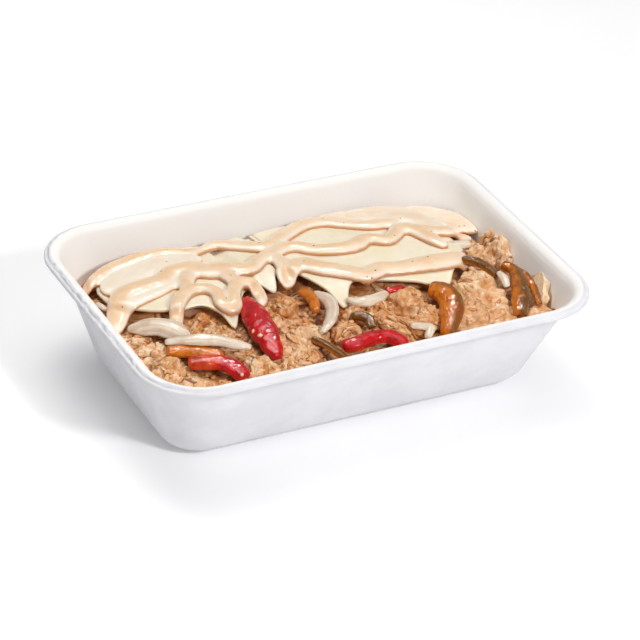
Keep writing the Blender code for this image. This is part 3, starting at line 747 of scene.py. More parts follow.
@dataclass(frozen=True)
class PlainFinish:
    """A finish with a base tone and a mottled second tone, for seeds, herbs and the table."""

    name: str
    first: tuple[int, int, int]
    second: tuple[int, int, int]
    scale: float
    roughness: float
    glow: float = 0.0

    def material(self) -> bpy.types.Material:
        """The mottled material.

        Returns:
            The material.
        """
        shader = Shader(self.name, Roughness=self.roughness, Specular_IOR_Level=0.4,
                        Emission_Strength=self.glow)
        cloud = shader.noise(shader.millimetres(), self.scale, 3.0)
        tone = shader.mix(shader.span(cloud, 0.35, 0.65), linear(*self.first), linear(*self.second))
        return shader.finish(Base_Color=tone)


@dataclass(frozen=True)
class MealSurface:
    """Height of the meal's top, level along the walls and crowned in the middle."""

    at_wall: float = 38.5
    crown: float = 7.0
    half_length: float = 112.0
    half_width: float = 72.0
    swell: float = 0.5

    def level(self, x: Array, y: Array) -> Array:
        """Height of the surface over the tray's base.

        Args:
            x: Places along the tray.
            y: Places across the tray.

        Returns:
            One height for each place.
        """
        along = np.maximum(0.0, 1.0 - (np.abs(x) / self.half_length) ** 6)
        across = np.maximum(0.0, 1.0 - (y / self.half_width) ** 2)
        swell = self.swell * np.sin(x / 11.0 + 0.8) * np.cos(y / 9.0)
        return self.at_wall + self.crown * along * across + swell


@dataclass(frozen=True)
class Tray:
    """The pressed tray: a rolled rim, leaning walls, round corners and a flat floor."""

    length: float = 235.0
    width: float = 162.0
    height: float = 56.8
    wall: float = 1.0
    rim_corner: float = 31.7
    wall_corner: float = 23.3
    base_corner: float = 19.8
    fillet: float = 13.2
    end_lean: float = 0.288
    side_lean: float = 0.444
    tightening: float = 0.8
    fillet_start: float = 20.0
    rim: tuple[tuple[float, float], ...] = (
        (0.0, 2.5), (0.25, 1.6), (0.8, 1.1), (1.4, 1.2), (2.0, 0.75), (2.8, 0.1), (4.4, 0.1), (6.0, 0.75),
        (7.3, 1.9), (8.4, 3.8)
    )
    rim_rows: int = 30
    outer_rows: int = 12
    torn_from: float = 92.0
    torn_row: float = 0.33
    corner_steps: int = 24
    long_steps: int = 72
    short_steps: int = 130

    def fillet_centre(self) -> float:
        """Height of the middle of the floor's fillet."""
        return self.wall + self.fillet

    def wall_inset(self, z: float, lean: float) -> float:
        """Distance from the rim's edge in to a wall's inner face at a height.

        Args:
            z: The height.
            lean: How far the wall leans in for each millimetre down.

        Returns:
            The distance.
        """
        top_inset, top_drop = self.rim[-1]
        top = self.height - top_drop
        angle = math.atan(lean)
        centre = self.fillet_centre()
        foot = centre - self.fillet * math.sin(angle)
        if z >= foot:
            return top_inset + (top - z) * lean
        centre_inset = top_inset + (top - foot) * lean + self.fillet * math.cos(angle)
        below = min(centre - z, self.fillet)
        return centre_inset - math.sqrt(self.fillet ** 2 - below ** 2)

    def half_sizes(self, z: float) -> tuple[float, float, float]:
        """Half the length and width of the hollow at a height, and its corner radius.

        Args:
            z: The height.

        Returns:
            Half the length, half the width and the radius.
        """
        top = self.height - self.rim[-1][1]
        centre = self.fillet_centre()
        down = min((top - z) / (top - centre), 1.0)
        corner = self.wall_corner + (self.base_corner - self.wall_corner) * down
        if z < centre:
            drawn_in = self.wall_inset(z, self.end_lean) - self.wall_inset(centre, self.end_lean)
            corner -= drawn_in * self.tightening
        half_x = self.length / 2 - self.wall_inset(z, self.end_lean)
        half_y = self.width / 2 - self.wall_inset(z, self.side_lean)
        return half_x, half_y, corner

    def ring(self, half_x: float, half_y: float, corner: float, z: float) -> Array:
        """Points round a rectangle with round corners, with its straights divided.

        Args:
            half_x: Half its length.
            half_y: Half its width.
            corner: Its corner radius.
            z: Its height.

        Returns:
            One row of x, y, z for each point.
        """
        corner = max(min(corner, half_x, half_y), 0.5)
        arcs = []
        for quarter, (sx, sy) in enumerate(((1, 1), (-1, 1), (-1, -1), (1, -1))):
            angles = np.radians(90.0 * (quarter + np.arange(self.corner_steps + 1) / self.corner_steps))
            x = sx * (half_x - corner) + corner * np.cos(angles)
            y = sy * (half_y - corner) + corner * np.sin(angles)
            arcs.append(np.column_stack((x, y, np.full(len(x), z))))
        rows = []
        for quarter, arc in enumerate(arcs):
            rows.append(arc)
            steps = self.long_steps if quarter % 2 == 0 else self.short_steps
            following = arcs[(quarter + 1) % 4][0]
            share = (np.arange(1, steps) / steps)[:, None]
            rows.append(arc[-1] * (1.0 - share) + following * share)
        return np.concatenate(rows)

    def inner_rings(self) -> list[Array]:
        """Rings of the inner face, from the rim's cut edge over the crest and down to the floor.

        Returns:
            The points of each ring.
        """
        profile = smooth_path(self.rim, self.rim_rows)
        rings = []
        for inset, drop in profile:
            rings.append(self.ring(self.length / 2 - inset, self.width / 2 - inset, self.rim_corner - inset,
                                   self.height - drop))
        top = self.height - self.rim[-1][1]
        foot = self.fillet_centre() - self.fillet * math.sin(math.radians(self.fillet_start))
        for z in np.linspace(top, foot, 16)[1:]:
            rings.append(self.ring(*self.half_sizes(z), z))
        for step in range(1, 9):
            angle = math.radians(self.fillet_start + (90.0 - self.fillet_start) * step / 8)
            z = self.fillet_centre() - self.fillet * math.sin(angle)
            rings.append(self.ring(*self.half_sizes(z), z))
        floor = rings[-1]
        for share in (0.8, 0.6, 0.4, 0.2, 0.05):
            rings.append(floor * np.array((share, share, 1.0)))
        return rings

    def hold_inside(self, places: Array, gap: float) -> Array:
        """Moves places that would cross a wall in to its inner face.

        Args:
            places: One row of x, y, z for each place.
            gap: How far inside the wall they stay.

        Returns:
            The moved places.
        """
        moved = places.copy()
        heights = np.linspace(self.wall, self.height, 60)
        sizes = np.array([self.half_sizes(min(z, self.height - self.rim[-1][1])) for z in heights])
        half_x = np.interp(moved[:, 2], heights, sizes[:, 0]) - gap
        half_y = np.interp(moved[:, 2], heights, sizes[:, 1]) - gap
        corner = np.interp(moved[:, 2], heights, sizes[:, 2])
        moved[:, 0] = np.clip(moved[:, 0], -half_x, half_x)
        moved[:, 1] = np.clip(moved[:, 1], -half_y, half_y)
        over_x = np.abs(moved[:, 0]) - (half_x - corner)
        over_y = np.abs(moved[:, 1]) - (half_y - corner)
        reach = np.hypot(over_x, over_y)
        outside = (over_x > 0) & (over_y > 0) & (reach > corner)
        scale = np.where(outside, corner / np.maximum(reach, 1e-6), 1.0)
        sign = np.sign(moved[:, :2])
        moved[:, 0] = np.where(outside, sign[:, 0] * (half_x - corner + over_x * scale), moved[:, 0])
        moved[:, 1] = np.where(outside, sign[:, 1] * (half_y - corner + over_y * scale), moved[:, 1])
        return moved

    def torn_relief(self, places: Array, row: int) -> Array:
        """How far the fibre stands proud: a faint nap, and torn bumps on the left end's outer slope.

        Args:
            places: The points of one ring.
            row: The ring's number from the cut edge.

        Returns:
            One distance for each point.
        """
        nap = 0.05 * noise_at(places, 0.25) + 0.04 * noise_at(places, 0.6, 5.0)
        if row > self.rim_rows * 0.6:
            return nap
        on_end = ease((-places[:, 0] - self.torn_from) / 12.0)
        stretched = places * np.array((0.5, 0.24, 0.5))
        flaps = np.minimum(np.maximum(0.0, noise_at(stretched, 1.0, 3.0)) * 4.0, 1.0)
        bumps = 0.55 * flaps + 0.4 * noise_at(stretched, 2.2) + 0.15 * noise_at(places, 1.2)
        fade = math.exp(-((row / self.rim_rows - self.torn_row) / 0.17) ** 2)
        return nap + bumps * on_end * fade

    def build(self) -> bpy.types.Object:
        """Both faces of the pulp, joined at the cut edge.

        Returns:
            The tray.
        """
        rings = self.inner_rings()
        count = len(rings[0])
        grid = np.array(rings)
        along = np.roll(grid, -1, axis=1) - np.roll(grid, 1, axis=1)
        down = np.empty_like(grid)
        down[1:-1] = grid[2:] - grid[:-2]
        down[0] = grid[1] - grid[0]
        down[-1] = (0.0, 0.0, 0.0)
        normals = np.cross(down, along)
        flat = grid[:, :, 2] <= self.wall + 0.01
        normals[flat] = (0.0, 0.0, 1.0)
        normals /= np.maximum(np.linalg.norm(normals, axis=2, keepdims=True), 1e-9)
        if normals[3, 0, 2] < 0:
            normals = -normals
            normals[flat] = (0.0, 0.0, 1.0)
        piece = Piece()
        outer = grid - normals * self.wall
        outer[:, :, 2] = np.maximum(outer[:, :, 2], 0.0)
        for row in range(len(rings)):
            if not flat[row].all():
                grid[row] += self.torn_relief(grid[row], row)[:, None] * normals[row]
        rows = np.concatenate((outer[::-1], grid))
        total = len(rows)
        # Marks the inner face, where the finish paints warm bounce light.
        inner = np.repeat(np.arange(total) >= len(rings) + self.outer_rows, count).astype(float)
        faces = grid_faces(total, count, True)
        faces.append(tuple(range(count)))
        faces.append(tuple(range(total * count - 1, (total - 1) * count - 1, -1)))
        piece.add(rows.reshape(-1, 3), faces, inner=inner)
        made = piece.make("moulded_tray", FibreFinish().material(), "moulded_fibre")
        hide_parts("tray")
        return made


@dataclass(frozen=True)
class CheeseSlice:
    """One slice, ruled between a front and a back edge."""

    name: str
    front: tuple[tuple[float, float], ...]
    back: tuple[tuple[float, float], ...]
    dips: bool = False


@dataclass(frozen=True)
class CheeseLayer:
    """The three slices, and how they drape over the meat."""

    surface: MealSurface
    lift: float = 0.9
    thickness: float = 1.8
    dip: float = 2.4
    ends: tuple[float, float] = (-42.0, 6.0)
    columns: int = 84
    rows: int = 56
    samples: int = 400
    edge_radius: float = 0.9
    sags: tuple[tuple[float, float, float, float], ...] = (
        (-49, -15, 5.0, 7.0), (-19, 4, 2.5, 7.0), (7, -18, 4.5, 8.0), (60, -22, 2.5, 9.0), (-97, 24, 1.5, 8.0)
    )
    slices: tuple[CheeseSlice, ...] = (
        CheeseSlice(
            "cheese_left",
            ((-98, 36), (-95, 22), (-84, 10), (-71, 3), (-60, 2), (-54, -5), (-49, -14), (-42, -3), (-34, 8)),
            ((-95, 47), (-86, 54), (-72, 60), (-60, 62), (-48, 62.5), (-39, 62), (-31, 60)),
        ),
        CheeseSlice(
            "cheese_middle",
            ((-42, 6), (-34, 10), (-26, 12), (-19, 5), (-14, 15), (-8, 23), (-2, 21), (6, 15)),
            ((-42, 58), (-26, 61), (-10, 62), (6, 60)),
            True,
        ),
        CheeseSlice(
            "cheese_right",
            ((-5, 16), (-1, 5), (7, -17), (14, -8), (20, -4), (33, -8), (46, -14), (60, -21), (70, -11),
             (84, 5)),
            ((-6, 61), (10, 63), (30, 63.5), (50, 63), (64, 60), (75, 51), (85, 30)),
        ),
    )

    def sag(self, x: Array, y: Array) -> Array:
        """How far the free corners hang down.

        Args:
            x: Places along the tray.
            y: Places across the tray.

        Returns:
            One drop for each place.
        """
        total = np.zeros_like(x)
        for cx, cy, depth, reach in self.sags:
            total += depth * np.exp(-((x - cx) ** 2 + (y - cy) ** 2) / reach ** 2)
        return total

    def middle_dip(self, x: Array) -> Array:
        """How far the middle slice dips under its neighbours."""
        to_end = np.minimum(x - self.ends[0], self.ends[1] - x)
        return self.dip * (1.0 - ease((to_end - 13.0) / 6.0))

    def cover(self, x: Array, y: Array) -> Array:
        """Distance in from the edge of the cheese, positive where cheese lies.

        Args:
            x: Places along the tray.
            y: Places across the tray.

        Returns:
            One distance for each place.
        """
        best = np.full(len(x), -1.0e9)
        for piece in self.slices:
            outline = np.array([*piece.front, *reversed(piece.back)], dtype=float)
            best = np.maximum(best, inset_from(x, y, outline))
        return best

    def build(self) -> None:
        """Every slice, with soft edges and a slight wave."""
        material = CheeseFinish().material()
        for piece in self.slices:
            self.build_slice(piece, material)

    def build_slice(self, spec: CheeseSlice, material: bpy.types.Material) -> None:
        """One slice: its two faces, drawn together along its edges.

        Args:
            spec: The slice.
            material: Its finish.
        """
        front = smooth_path(spec.front, self.samples)
        back = smooth_path(spec.back, self.samples)
        share = self.edge_spread(self.columns)
        place = np.linspace(0.0, 1.0, self.samples)
        near = np.column_stack([np.interp(share, place, front[:, axis]) for axis in (0, 1)])
        far = np.column_stack([np.interp(share, place, back[:, axis]) for axis in (0, 1)])
        deep = self.edge_spread(self.rows)[:, None, None]
        plan = near[None] * (1.0 - deep) + far[None] * deep
        x = plan[:, :, 0].ravel()
        y = plan[:, :, 1].ravel()
        outline = np.array([*front[::8, :2], *back[::-8, :2]])
        inset = np.maximum(inset_from(x, y, outline), 0.0)
        from_edge = np.clip(inset / self.edge_radius, 0.0, 1.0)
        rounding = np.sqrt(np.clip(1.0 - (1.0 - from_edge) ** 2, 0.0, 1.0))
        middle = self.surface.level(x, y) + self.lift - self.sag(x, y) + self.thickness / 2
        if spec.dips:
            middle -= self.middle_dip(x)
        places = np.column_stack((x, y, middle))
        wave = 0.22 * noise_at(places * np.array((1.0, 1.0, 0.0)), 0.09) + 0.1 * noise_at(places, 0.3)
        half = self.thickness / 2 * rounding
        upper = places + np.column_stack((0 * x, 0 * x, half + wave))
        lower = places + np.column_stack((0 * x, 0 * x, -half + wave))
        faces = grid_faces(self.rows, self.columns, False)
        piece = Piece()
        piece.add(upper, faces)
        piece.add(lower, [tuple(reversed(face)) for face in faces])
        made = piece.make(f"{spec.name}_slice", material, "white_cheese")
        weld(made, 0.02)
        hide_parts(spec.name)

    @staticmethod
    def edge_spread(count: int) -> Array:
        """Places of 0 to 1, closer together near both ends."""
        even = np.linspace(0.0, 1.0, count)
        return even - 0.85 * np.sin(2 * math.pi * even) / (2 * math.pi)


def weld(made: bpy.types.Object, distance: float) -> None:
    """Welds vertices that lie within a distance in millimetres.

    Args:
        made: The object.
        distance: The distance.
    """
    bm = bmesh.new()
    bm.from_mesh(made.data)
    bmesh.ops.remove_doubles(bm, verts=bm.verts, dist=distance * MM)
    bmesh.ops.recalc_face_normals(bm, faces=bm.faces)
    bm.to_mesh(made.data)
    bm.free()


def applied(made: bpy.types.Object) -> None:
    """Replaces an object's mesh by what its modifiers make of it.

    Args:
        made: The object.
    """
    bpy.context.view_layer.update()
    graph = bpy.context.evaluated_depsgraph_get()
    mesh = bpy.data.meshes.new_from_object(made.evaluated_get(graph))
    made.modifiers.clear()
    made.data = mesh


@dataclass(frozen=True)
class Ribbon:
    """One poured run of sauce: x, y and half its width at each point, and its height."""

    points: tuple[tuple[float, float, float], ...]
    height: float


@dataclass(frozen=True)
class SauceLayer:
    """The poured sauce over the cheese."""

    surface: MealSurface
    cheese: CheeseLayer
    tray: Tray
    gap: float = 0.4
    spread: float = 1.22
    step: float = 0.15
    columns: int = 20
    voxel: float = 0.72
    smoothing: int = 14
    ribbons: tuple[Ribbon, ...] = (
        Ribbon(((-36, 52, 2.6), (-27, 56, 3.6), (-17, 49, 4.2), (-7, 42, 4.2), (2, 46, 4.0), (12, 52, 4.2),
                (22, 57, 4.4), (33, 57, 4.4), (42, 50, 4.4), (50, 43, 4.2), (59, 41, 4.2),
                (68, 40, 3.8)), 2.6),
        Ribbon(((-47, 33, 6.0), (-36, 28, 6.0), (-25, 23, 4.4), (-16, 29, 3.8), (-6, 34, 3.8), (5, 37, 4.0),
                (15, 29, 4.0), (24, 25, 4.2), (34, 24, 4.2), (42, 28, 3.8), (50, 23, 3.6), (56, 26, 3.6),
                (64, 33, 4.0), (69, 28, 4.0), (73, 15, 3.8), (75, 6, 3.4)), 2.6),
        Ribbon(((-13, 5, 3.4), (-8, 14, 5.0), (1, 18, 5.4), (8, 10, 5.2), (15, 4, 5.0), (25, -3, 4.8),
                (35, -1, 4.8), (44, -3, 4.8), (55, -4, 5.2), (66, -5, 5.4), (76, -6, 4.6),
                (83, -4, 2.8)), 2.4),
        Ribbon(((62, 32, 3.8), (72, 28, 4.0), (82, 23, 3.8), (91, 20, 3.2), (97, 18, 2.4)), 2.8),
        Ribbon(((-102, 40, 2.6), (-97, 46, 3.6), (-88, 52, 4.2), (-77, 55, 4.4), (-66, 57, 4.2),
                (-54, 57, 3.6), (-44, 52, 3.4), (-34, 53, 2.8)), 2.8),
        Ribbon(((-103, 3, 3.2), (-98, 13, 4.6), (-90, 25, 5.0), (-79, 28, 4.8), (-68, 30, 4.4),
                (-59, 36, 4.4), (-50, 36, 5.6), (-42, 28, 5.4), (-32, 26, 4.6), (-25, 23, 4.0)), 2.6),
        Ribbon(((-79, -12, 2.4), (-75, -3, 3.0), (-69, 7, 3.4), (-61, 14, 3.4), (-53, 14, 3.4), (-49, 7, 3.2),
                (-51, -3, 3.2), (-46, -6, 3.2), (-42, 4, 3.2), (-36, 12, 3.4), (-30, 11, 3.2), (-28, 3, 3.0),
                (-31, -5, 2.6)), 3.0),
        Ribbon(((-61, 14, 3.0), (-58, 23, 3.6), (-52, 32, 4.0)), 2.6),
        Ribbon(((-36, 12, 3.0), (-37, 19, 3.6), (-38, 27, 4.0)), 2.6),
        Ribbon(((-8, 14, 3.6), (-7, 24, 3.6), (-8, 33, 3.4)), 2.4),
        Ribbon(((28, 59, 3.6), (42, 58, 5.6), (55, 55, 7.4), (67, 51, 8.6), (76, 43, 8.4), (81, 33, 6.6),
                (84, 24, 4.0)), 2.0),
        Ribbon(((-95, 30, 4.0), (-87, 39, 6.0), (-76, 43, 7.0), (-62, 46, 7.0), (-50, 46, 5.6),
                (-40, 42, 4.0)), 1.5),
        Ribbon(((-96, 14, 3.6), (-86, 19, 4.6), (-75, 22, 4.6), (-65, 26, 4.0), (-56, 31, 3.6)), 1.6),
        Ribbon(((78, 56, 6.0), (88, 52, 7.4), (96, 44, 7.8), (100, 34, 7.0), (101, 25, 4.6)), 2.0),
        Ribbon(((74, 44, 7.0), (84, 39, 8.0), (92, 33, 7.6), (97, 27, 5.6)), 1.8),
    )

    def support(self, x: Array, y: Array) -> Array:
        """What the sauce lies on: the cheese, and past its edge a short slope down to the meat.

        Args:
            x: Places along the tray.
            y: Places across the tray.

        Returns:
            One height for each place.
        """
        on_cheese = ease((self.cheese.cover(x, y) + 5.5) / 4.0)
        rise = self.cheese.lift + self.cheese.thickness - self.cheese.sag(x, y) * 0.9
        return self.surface.level(x, y) + self.gap + rise * on_cheese - 1.2 * (1.0 - on_cheese)

    def add_ribbon(self, piece: Piece, ribbon: Ribbon, raised: float) -> None:
        """Adds one ribbon as a closed tube with a domed top and round ends.

        Args:
            piece: The mesh to add to.
            ribbon: The ribbon.
            raised: How far it is lifted over its neighbours.
        """
        count = max(12, round(path_length(ribbon.points) / 1.4))
        path = smooth_path(ribbon.points, count)
        along = np.gradient(path[:, :2], axis=0)
        along /= np.maximum(np.linalg.norm(along, axis=1, keepdims=True), 1e-9)
        side = np.column_stack((-along[:, 1], along[:, 0]))
        from_end = np.minimum(np.arange(count), np.arange(count)[::-1]) / (0.06 * count + 2.0)
        blunt = 0.35 + 0.65 * np.sqrt(np.clip(from_end * (2.0 - np.minimum(from_end, 1.0)), 0.0, 1.0))
        width = path[:, 2] * self.spread * blunt
        across = -np.cos(math.pi * np.arange(self.columns + 1) / self.columns)
        dome = np.clip(1.0 - np.abs(across) ** 2.5, 0.0, 1.0) ** 0.5
        x = path[:, 0, None] + side[:, 0, None] * width[:, None] * across
        y = path[:, 1, None] + side[:, 1, None] * width[:, None] * across
        base = self.support(x.ravel(), y.ravel()).reshape(x.shape) + raised
        top = base + 0.45 + ribbon.height * 0.9 * blunt[:, None] * dome
        under = base - 0.9
        upper = np.stack((x, y, top), axis=2)
        lower = np.stack((x, y, under), axis=2)[:, ::-1]
        rings = np.concatenate((upper, lower), axis=1)
        piece.add(rings.reshape(-1, 3), tube_faces(count, rings.shape[1]))

    def build(self) -> bpy.types.Object:
        """Every ribbon run together into one smooth body.

        Returns:
            The sauce.
        """
        piece = Piece()
        for index, ribbon in enumerate(self.ribbons):
            self.add_ribbon(piece, ribbon, self.step * (index % 3))
        made = piece.make("poured_sauce", SauceFinish().material(), "creamy_sauce")
        weld(made, 0.001)
        join = made.modifiers.new("join", "REMESH")
        join.mode = "VOXEL"
        join.voxel_size = self.voxel * MM
        smooth = made.modifiers.new("smooth", "SMOOTH")
        smooth.factor = 0.6
        smooth.iterations = self.smoothing
        applied(made)
        mesh = made.data
        flat = np.empty(len(mesh.vertices) * 3)
        mesh.vertices.foreach_get("co", flat)
        places = flat.reshape(-1, 3) / MM
        places[:, 2] += 0.28 * noise_at(places, 0.11) + 0.12 * noise_at(places, 0.28, 9.0)
        places = self.tray.hold_inside(places, 0.2)
        mesh.vertices.foreach_set("co", (places * MM).ravel())
        deep = ease((places[:, 2] - self.support(places[:, 0], places[:, 1]) - 1.7) / 1.4)
        mesh.attributes.new("deep", "FLOAT", "POINT").data.foreach_set("value", deep.astype(np.float32))
        mesh.update()
        mesh.shade_smooth()
        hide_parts("sauce")
        LOG.info("sauce has %d faces", len(mesh.polygons))
        return made


class Kind(Enum):
    """What a strip was cut from."""

    RED = "red_pepper"
    AMBER = "amber_pepper"
    OLIVE = "olive_pepper"
    ONION = "onion"


@dataclass(frozen=True)
class Strip:
    """A cut strip: x, y, lift over the meal and width at each point."""

    name: str
    kind: Kind
    points: tuple[tuple[float, float, float, float], ...]
    thickness: float
    roll: float
    arch: float = 0.10
    skin_from: float = 0.0
    wrinkle: float = 0.3
    bare: tuple[float, float] = (2.0, 2.0)


@dataclass(frozen=True)
class StripLayer:
    """The pepper and onion strips among the meat."""

    surface: MealSurface
    strips: tuple[Strip, ...] = (
        Strip("red_pepper_tall", Kind.RED, ((-37, 2, 0.4, 8), (-38.5, -7, 2.2, 11), (-40.5, -20, 3.0, 13),
              (-42, -33, 3.0, 11.5), (-43, -42, 2.4, 8), (-43.8, -48, 1.4, 5)), 3.8, 12, 0.14, 0.0, 0.5),
        Strip("red_pepper_bent", Kind.RED, ((-84, -36, 1.6, 7), (-77, -39, 2.2, 8.4), (-71, -42, 2.4, 8.4),
              (-66, -48, 2.2, 8.4), (-64, -56, 1.4, 7)), 3.4, 8, 0.14, 0.45, 0.35),
        Strip("red_pepper_bright", Kind.RED, ((-11, -49, 1.6, 6), (-4, -50, 2.2, 8), (4, -49, 2.4, 8),
              (12, -49.5, 2.2, 8), (17, -54, 1.8, 7), (18, -58, 1.0, 5)), 4.4, 0, 0.16, 0.0, 0.3),
        Strip("red_pepper_bit", Kind.RED, ((31, -13, -1.2, 4), (36, -14, -1.0, 4.5),
              (41, -13, -1.2, 4)), 2.6, 0),
        Strip("amber_pepper_left", Kind.AMBER, ((-89, -23, 0.4, 7), (-81, -26, 0.8, 8.6),
              (-73, -30, 0.8, 8.6), (-66, -37, 0.4, 7)), 2.8, 10, bare=(-1.5, 0.6)),
        Strip("olive_pepper_front", Kind.OLIVE, ((-23, -41, 2.8, 4), (-19, -46, 3.0, 5.5),
              (-16, -52, 2.6, 5.5), (-12, -60, 1.6, 4.5)), 3.2, -30),
        Strip("amber_pepper_shaded", Kind.AMBER, ((-8, 0, 0.2, 5), (-7, -7, 1.6, 5.5), (-8, -14, 2.2, 5),
              (-11, -22, 2.0, 3.6)), 2.6, 12, bare=(-1.5, 1.5)),
        Strip("olive_pepper_curl", Kind.OLIVE, ((4, -30, 2.0, 4), (8, -32, 2.8, 5), (10, -36, 2.8, 5),
              (9, -42, 2.0, 4.2)), 2.6, 25),
        Strip("amber_pepper_large", Kind.AMBER, ((50, -22, 1.0, 8), (54, -27, 3.0, 11), (54, -36, 3.4, 12),
              (49, -46, 2.6, 11), (42, -56, 1.4, 7)), 4.0, 15, 0.16, bare=(-1.5, 0.5)),
        Strip("olive_pepper_right", Kind.OLIVE, ((76, -6, 3.0, 6), (81, -10, 4.2, 6.5), (85, -16, 4.2, 6.5),
              (87, -23, 3.0, 5)), 3.6, -20),
        Strip("amber_pepper_arc", Kind.AMBER, ((100, -17, 2.8, 3), (102.5, -24, 2.8, 3.8),
              (101.5, -33, 2.4, 3.8), (99, -42, 1.8, 3.4), (97, -48, 1.2, 3)), 2.6, 20, bare=(-1.5, 0.3)),
        Strip("olive_pepper_end", Kind.OLIVE, ((95, -14, 3.0, 4.4), (98, -20, 3.8, 6),
              (95.5, -30, 3.8, 8.4), (89, -43, 3.2, 9), (82.5, -54, 1.6, 7)), 3.6, 12, bare=(-1.5, 0.3)),
        Strip("olive_pepper_edge", Kind.OLIVE, ((-103, 27, -0.6, 3), (-102.5, 21, 0.2, 4),
              (-102, 14, -0.6, 3)), 2.2, 0),
        Strip("onion_petal", Kind.ONION, ((-97, 3, 0.8, 4), (-90.5, -1, 2.6, 10.5), (-84, -6, 3.4, 12.5),
              (-79, -12, 2.8, 10.5), (-75, -18, 1.6, 4)), 2.0, 12, 0.2, 0.0, 0.15),
        Strip("onion_long", Kind.ONION, ((-88, -19, 2.8, 3.6), (-77, -24, 4.4, 6.6), (-67, -28, 4.6, 7.2),
              (-59, -33, 3.8, 6.4), (-52, -37, 2.6, 3.6)), 1.5, 15, 0.12, 0.0, 0.2),
        Strip("onion_arc", Kind.ONION, ((-4, -5, 1.0, 3.6), (-1, -14, 2.6, 6), (-3, -23, 3.2, 6.4),
              (-9, -32, 3.0, 6), (-16, -38, 2.2, 3.6)), 1.7, 20, 0.12, 0.0, 0.2),
        Strip("onion_crescent", Kind.ONION, ((9, -15, 0.6, 3.2), (14, -20, 1.8, 7), (21, -21, 2.0, 7.4),
              (30, -17, 1.0, 3.8)), 1.8, 12, 0.12, 0.0, 0.2),
        Strip("onion_hook", Kind.ONION, ((27, -46, 2.4, 3.8), (32, -48.5, 3.0, 5), (35, -51, 3.0, 5),
              (31, -56, 1.8, 3.8)), 1.6, 10, 0.12, 0.0, 0.2),
        Strip("onion_tucked", Kind.ONION, ((77, 13, 1.4, 3.8), (84, 11, 1.8, 6.6), (91, 9.5, 2.4, 5.2)),
              2.0, 8, 0.1, 0.0, 0.2),
        Strip("onion_wedge", Kind.ONION, ((88, -22, 4.6, 2.6), (88, -28, 5.0, 4.6),
              (86, -35, 4.4, 3)), 1.7, 15, 0.1, 0.0, 0.2),
        Strip("onion_edge", Kind.ONION, ((-100, 32, -0.4, 2.4), (-99.5, 27, 0.0, 3.4),
              (-98, 22, -0.4, 2.4)), 1.6, 0, 0.1, 0.0, 0.2),
    )

    def finishes(self) -> dict[Kind, bpy.types.Material]:
        """One material for each kind of strip.

        Returns:
            The materials by kind.
        """
        return {
            Kind.RED: PepperFinish("red_pepper", (198, 2, 10), (206, 66, 8), (140, 2, 8)).material(),
            Kind.AMBER: PepperFinish("amber_pepper", (122, 76, 8), (206, 114, 0), (158, 62, 0)).material(),
            Kind.OLIVE: PepperFinish("olive_pepper", (118, 72, 8), (196, 106, 4), (76, 42, 4)).material(),
            Kind.ONION: OnionFinish().material(),
        }

    def centre_line(self, strip: Strip, count: int) -> tuple[Array, Array]:
        """Points along a strip's middle, and its width at each.

        Args:
            strip: The strip.
            count: How many points there are.

        Returns:
            One row of x, y, z for each point, and the widths.
        """
        path = smooth_path(strip.points, count)
        z = self.surface.level(path[:, 0], path[:, 1]) + path[:, 2]
        return np.column_stack((path[:, 0], path[:, 1], z)), path[:, 3]

    def build_strip(self, strip: Strip, material: bpy.types.Material) -> bpy.types.Object:
        """One strip: a flat rounded section carried along its curve, wrinkled, with soft ends.

        Args:
            strip: The strip.
            material: Its finish.

        Returns:
            The strip's object.
        """
        sides = 32
        length = path_length(strip.points)
        count = max(24, round(length / 0.62))
        centres, widths = self.centre_line(strip, count)
        along = np.gradient(centres, axis=0)
        along /= np.linalg.norm(along, axis=1, keepdims=True)
        side = np.column_stack((-along[:, 1], along[:, 0], np.zeros(count)))
        side /= np.linalg.norm(side, axis=1, keepdims=True)
        up = np.cross(along, side)
        roll = math.radians(strip.roll)
        side, up = side * math.cos(roll) + up * math.sin(roll), up * math.cos(roll) - side * math.sin(roll)
        travelled = np.linspace(0.0, length, count)
        to_end = np.minimum(travelled, length - travelled)
        blunt = 0.08 + 0.92 * np.sqrt(np.clip(1.0 - (1.0 - np.clip(to_end / 1.8, 0.0, 1.0)) ** 2, 0.0, 1.0))
        angle = 2 * math.pi * (np.arange(sides) + 0.5) / sides
        power = 0.9 if strip.kind is Kind.ONION else 0.55
        across = np.sign(np.cos(angle)) * np.abs(np.cos(angle)) ** power
        rise = np.sign(np.sin(angle)) * np.abs(np.sin(angle)) ** power
        uneven = 1.0 + 0.16 * noise_at(centres, 0.11, length)
        half = (widths / 2 * uneven * (0.55 + 0.45 * blunt))[:, None] * across
        high = (strip.thickness / 2 * blunt)[:, None] * rise
        high = high + (strip.arch * widths)[:, None] * (0.4 - across ** 2) * blunt[:, None]
        grain = np.stack((np.repeat(travelled[:, None], sides, 1), half, high), axis=2).reshape(-1, 3)
        spread = side[:, None] * half[:, :, None]
        places = (centres[:, None] + spread + up[:, None] * high[:, :, None]).reshape(-1, 3)
        outward = side[:, None] * np.cos(angle)[None, :, None] + up[:, None] * np.sin(angle)[None, :, None]
        shift = len(strip.name) * 7.3 + length
        folds = noise_at(grain * np.array((0.35, 0.8, 0.5)), 0.75, shift) + 0.5 * noise_at(grain, 0.9, shift)
        places = places + outward.reshape(-1, 3) * (strip.wrinkle * folds * np.repeat(blunt, sides))[:, None]
        share = np.repeat(travelled / length, sides)
        ragged = np.tile(across, count) + 0.25 * noise_at(grain, 0.3, shift)
        band = ease((ragged - strip.bare[0]) / 0.2) * ease((strip.bare[1] - ragged) / 0.2)
        outer = ease(np.tile(rise, count) * 1.6 + 0.9) * (1.0 - band)
        skin = outer * ease((share - strip.skin_from) / 0.25 + (1.0 if strip.skin_from == 0.0 else 0.5))
        piece = Piece()
        piece.add(places, tube_faces(count, sides), grain=grain + shift, skin=skin)
        made = piece.make(f"{strip.name}_strip", material, strip.kind.value)
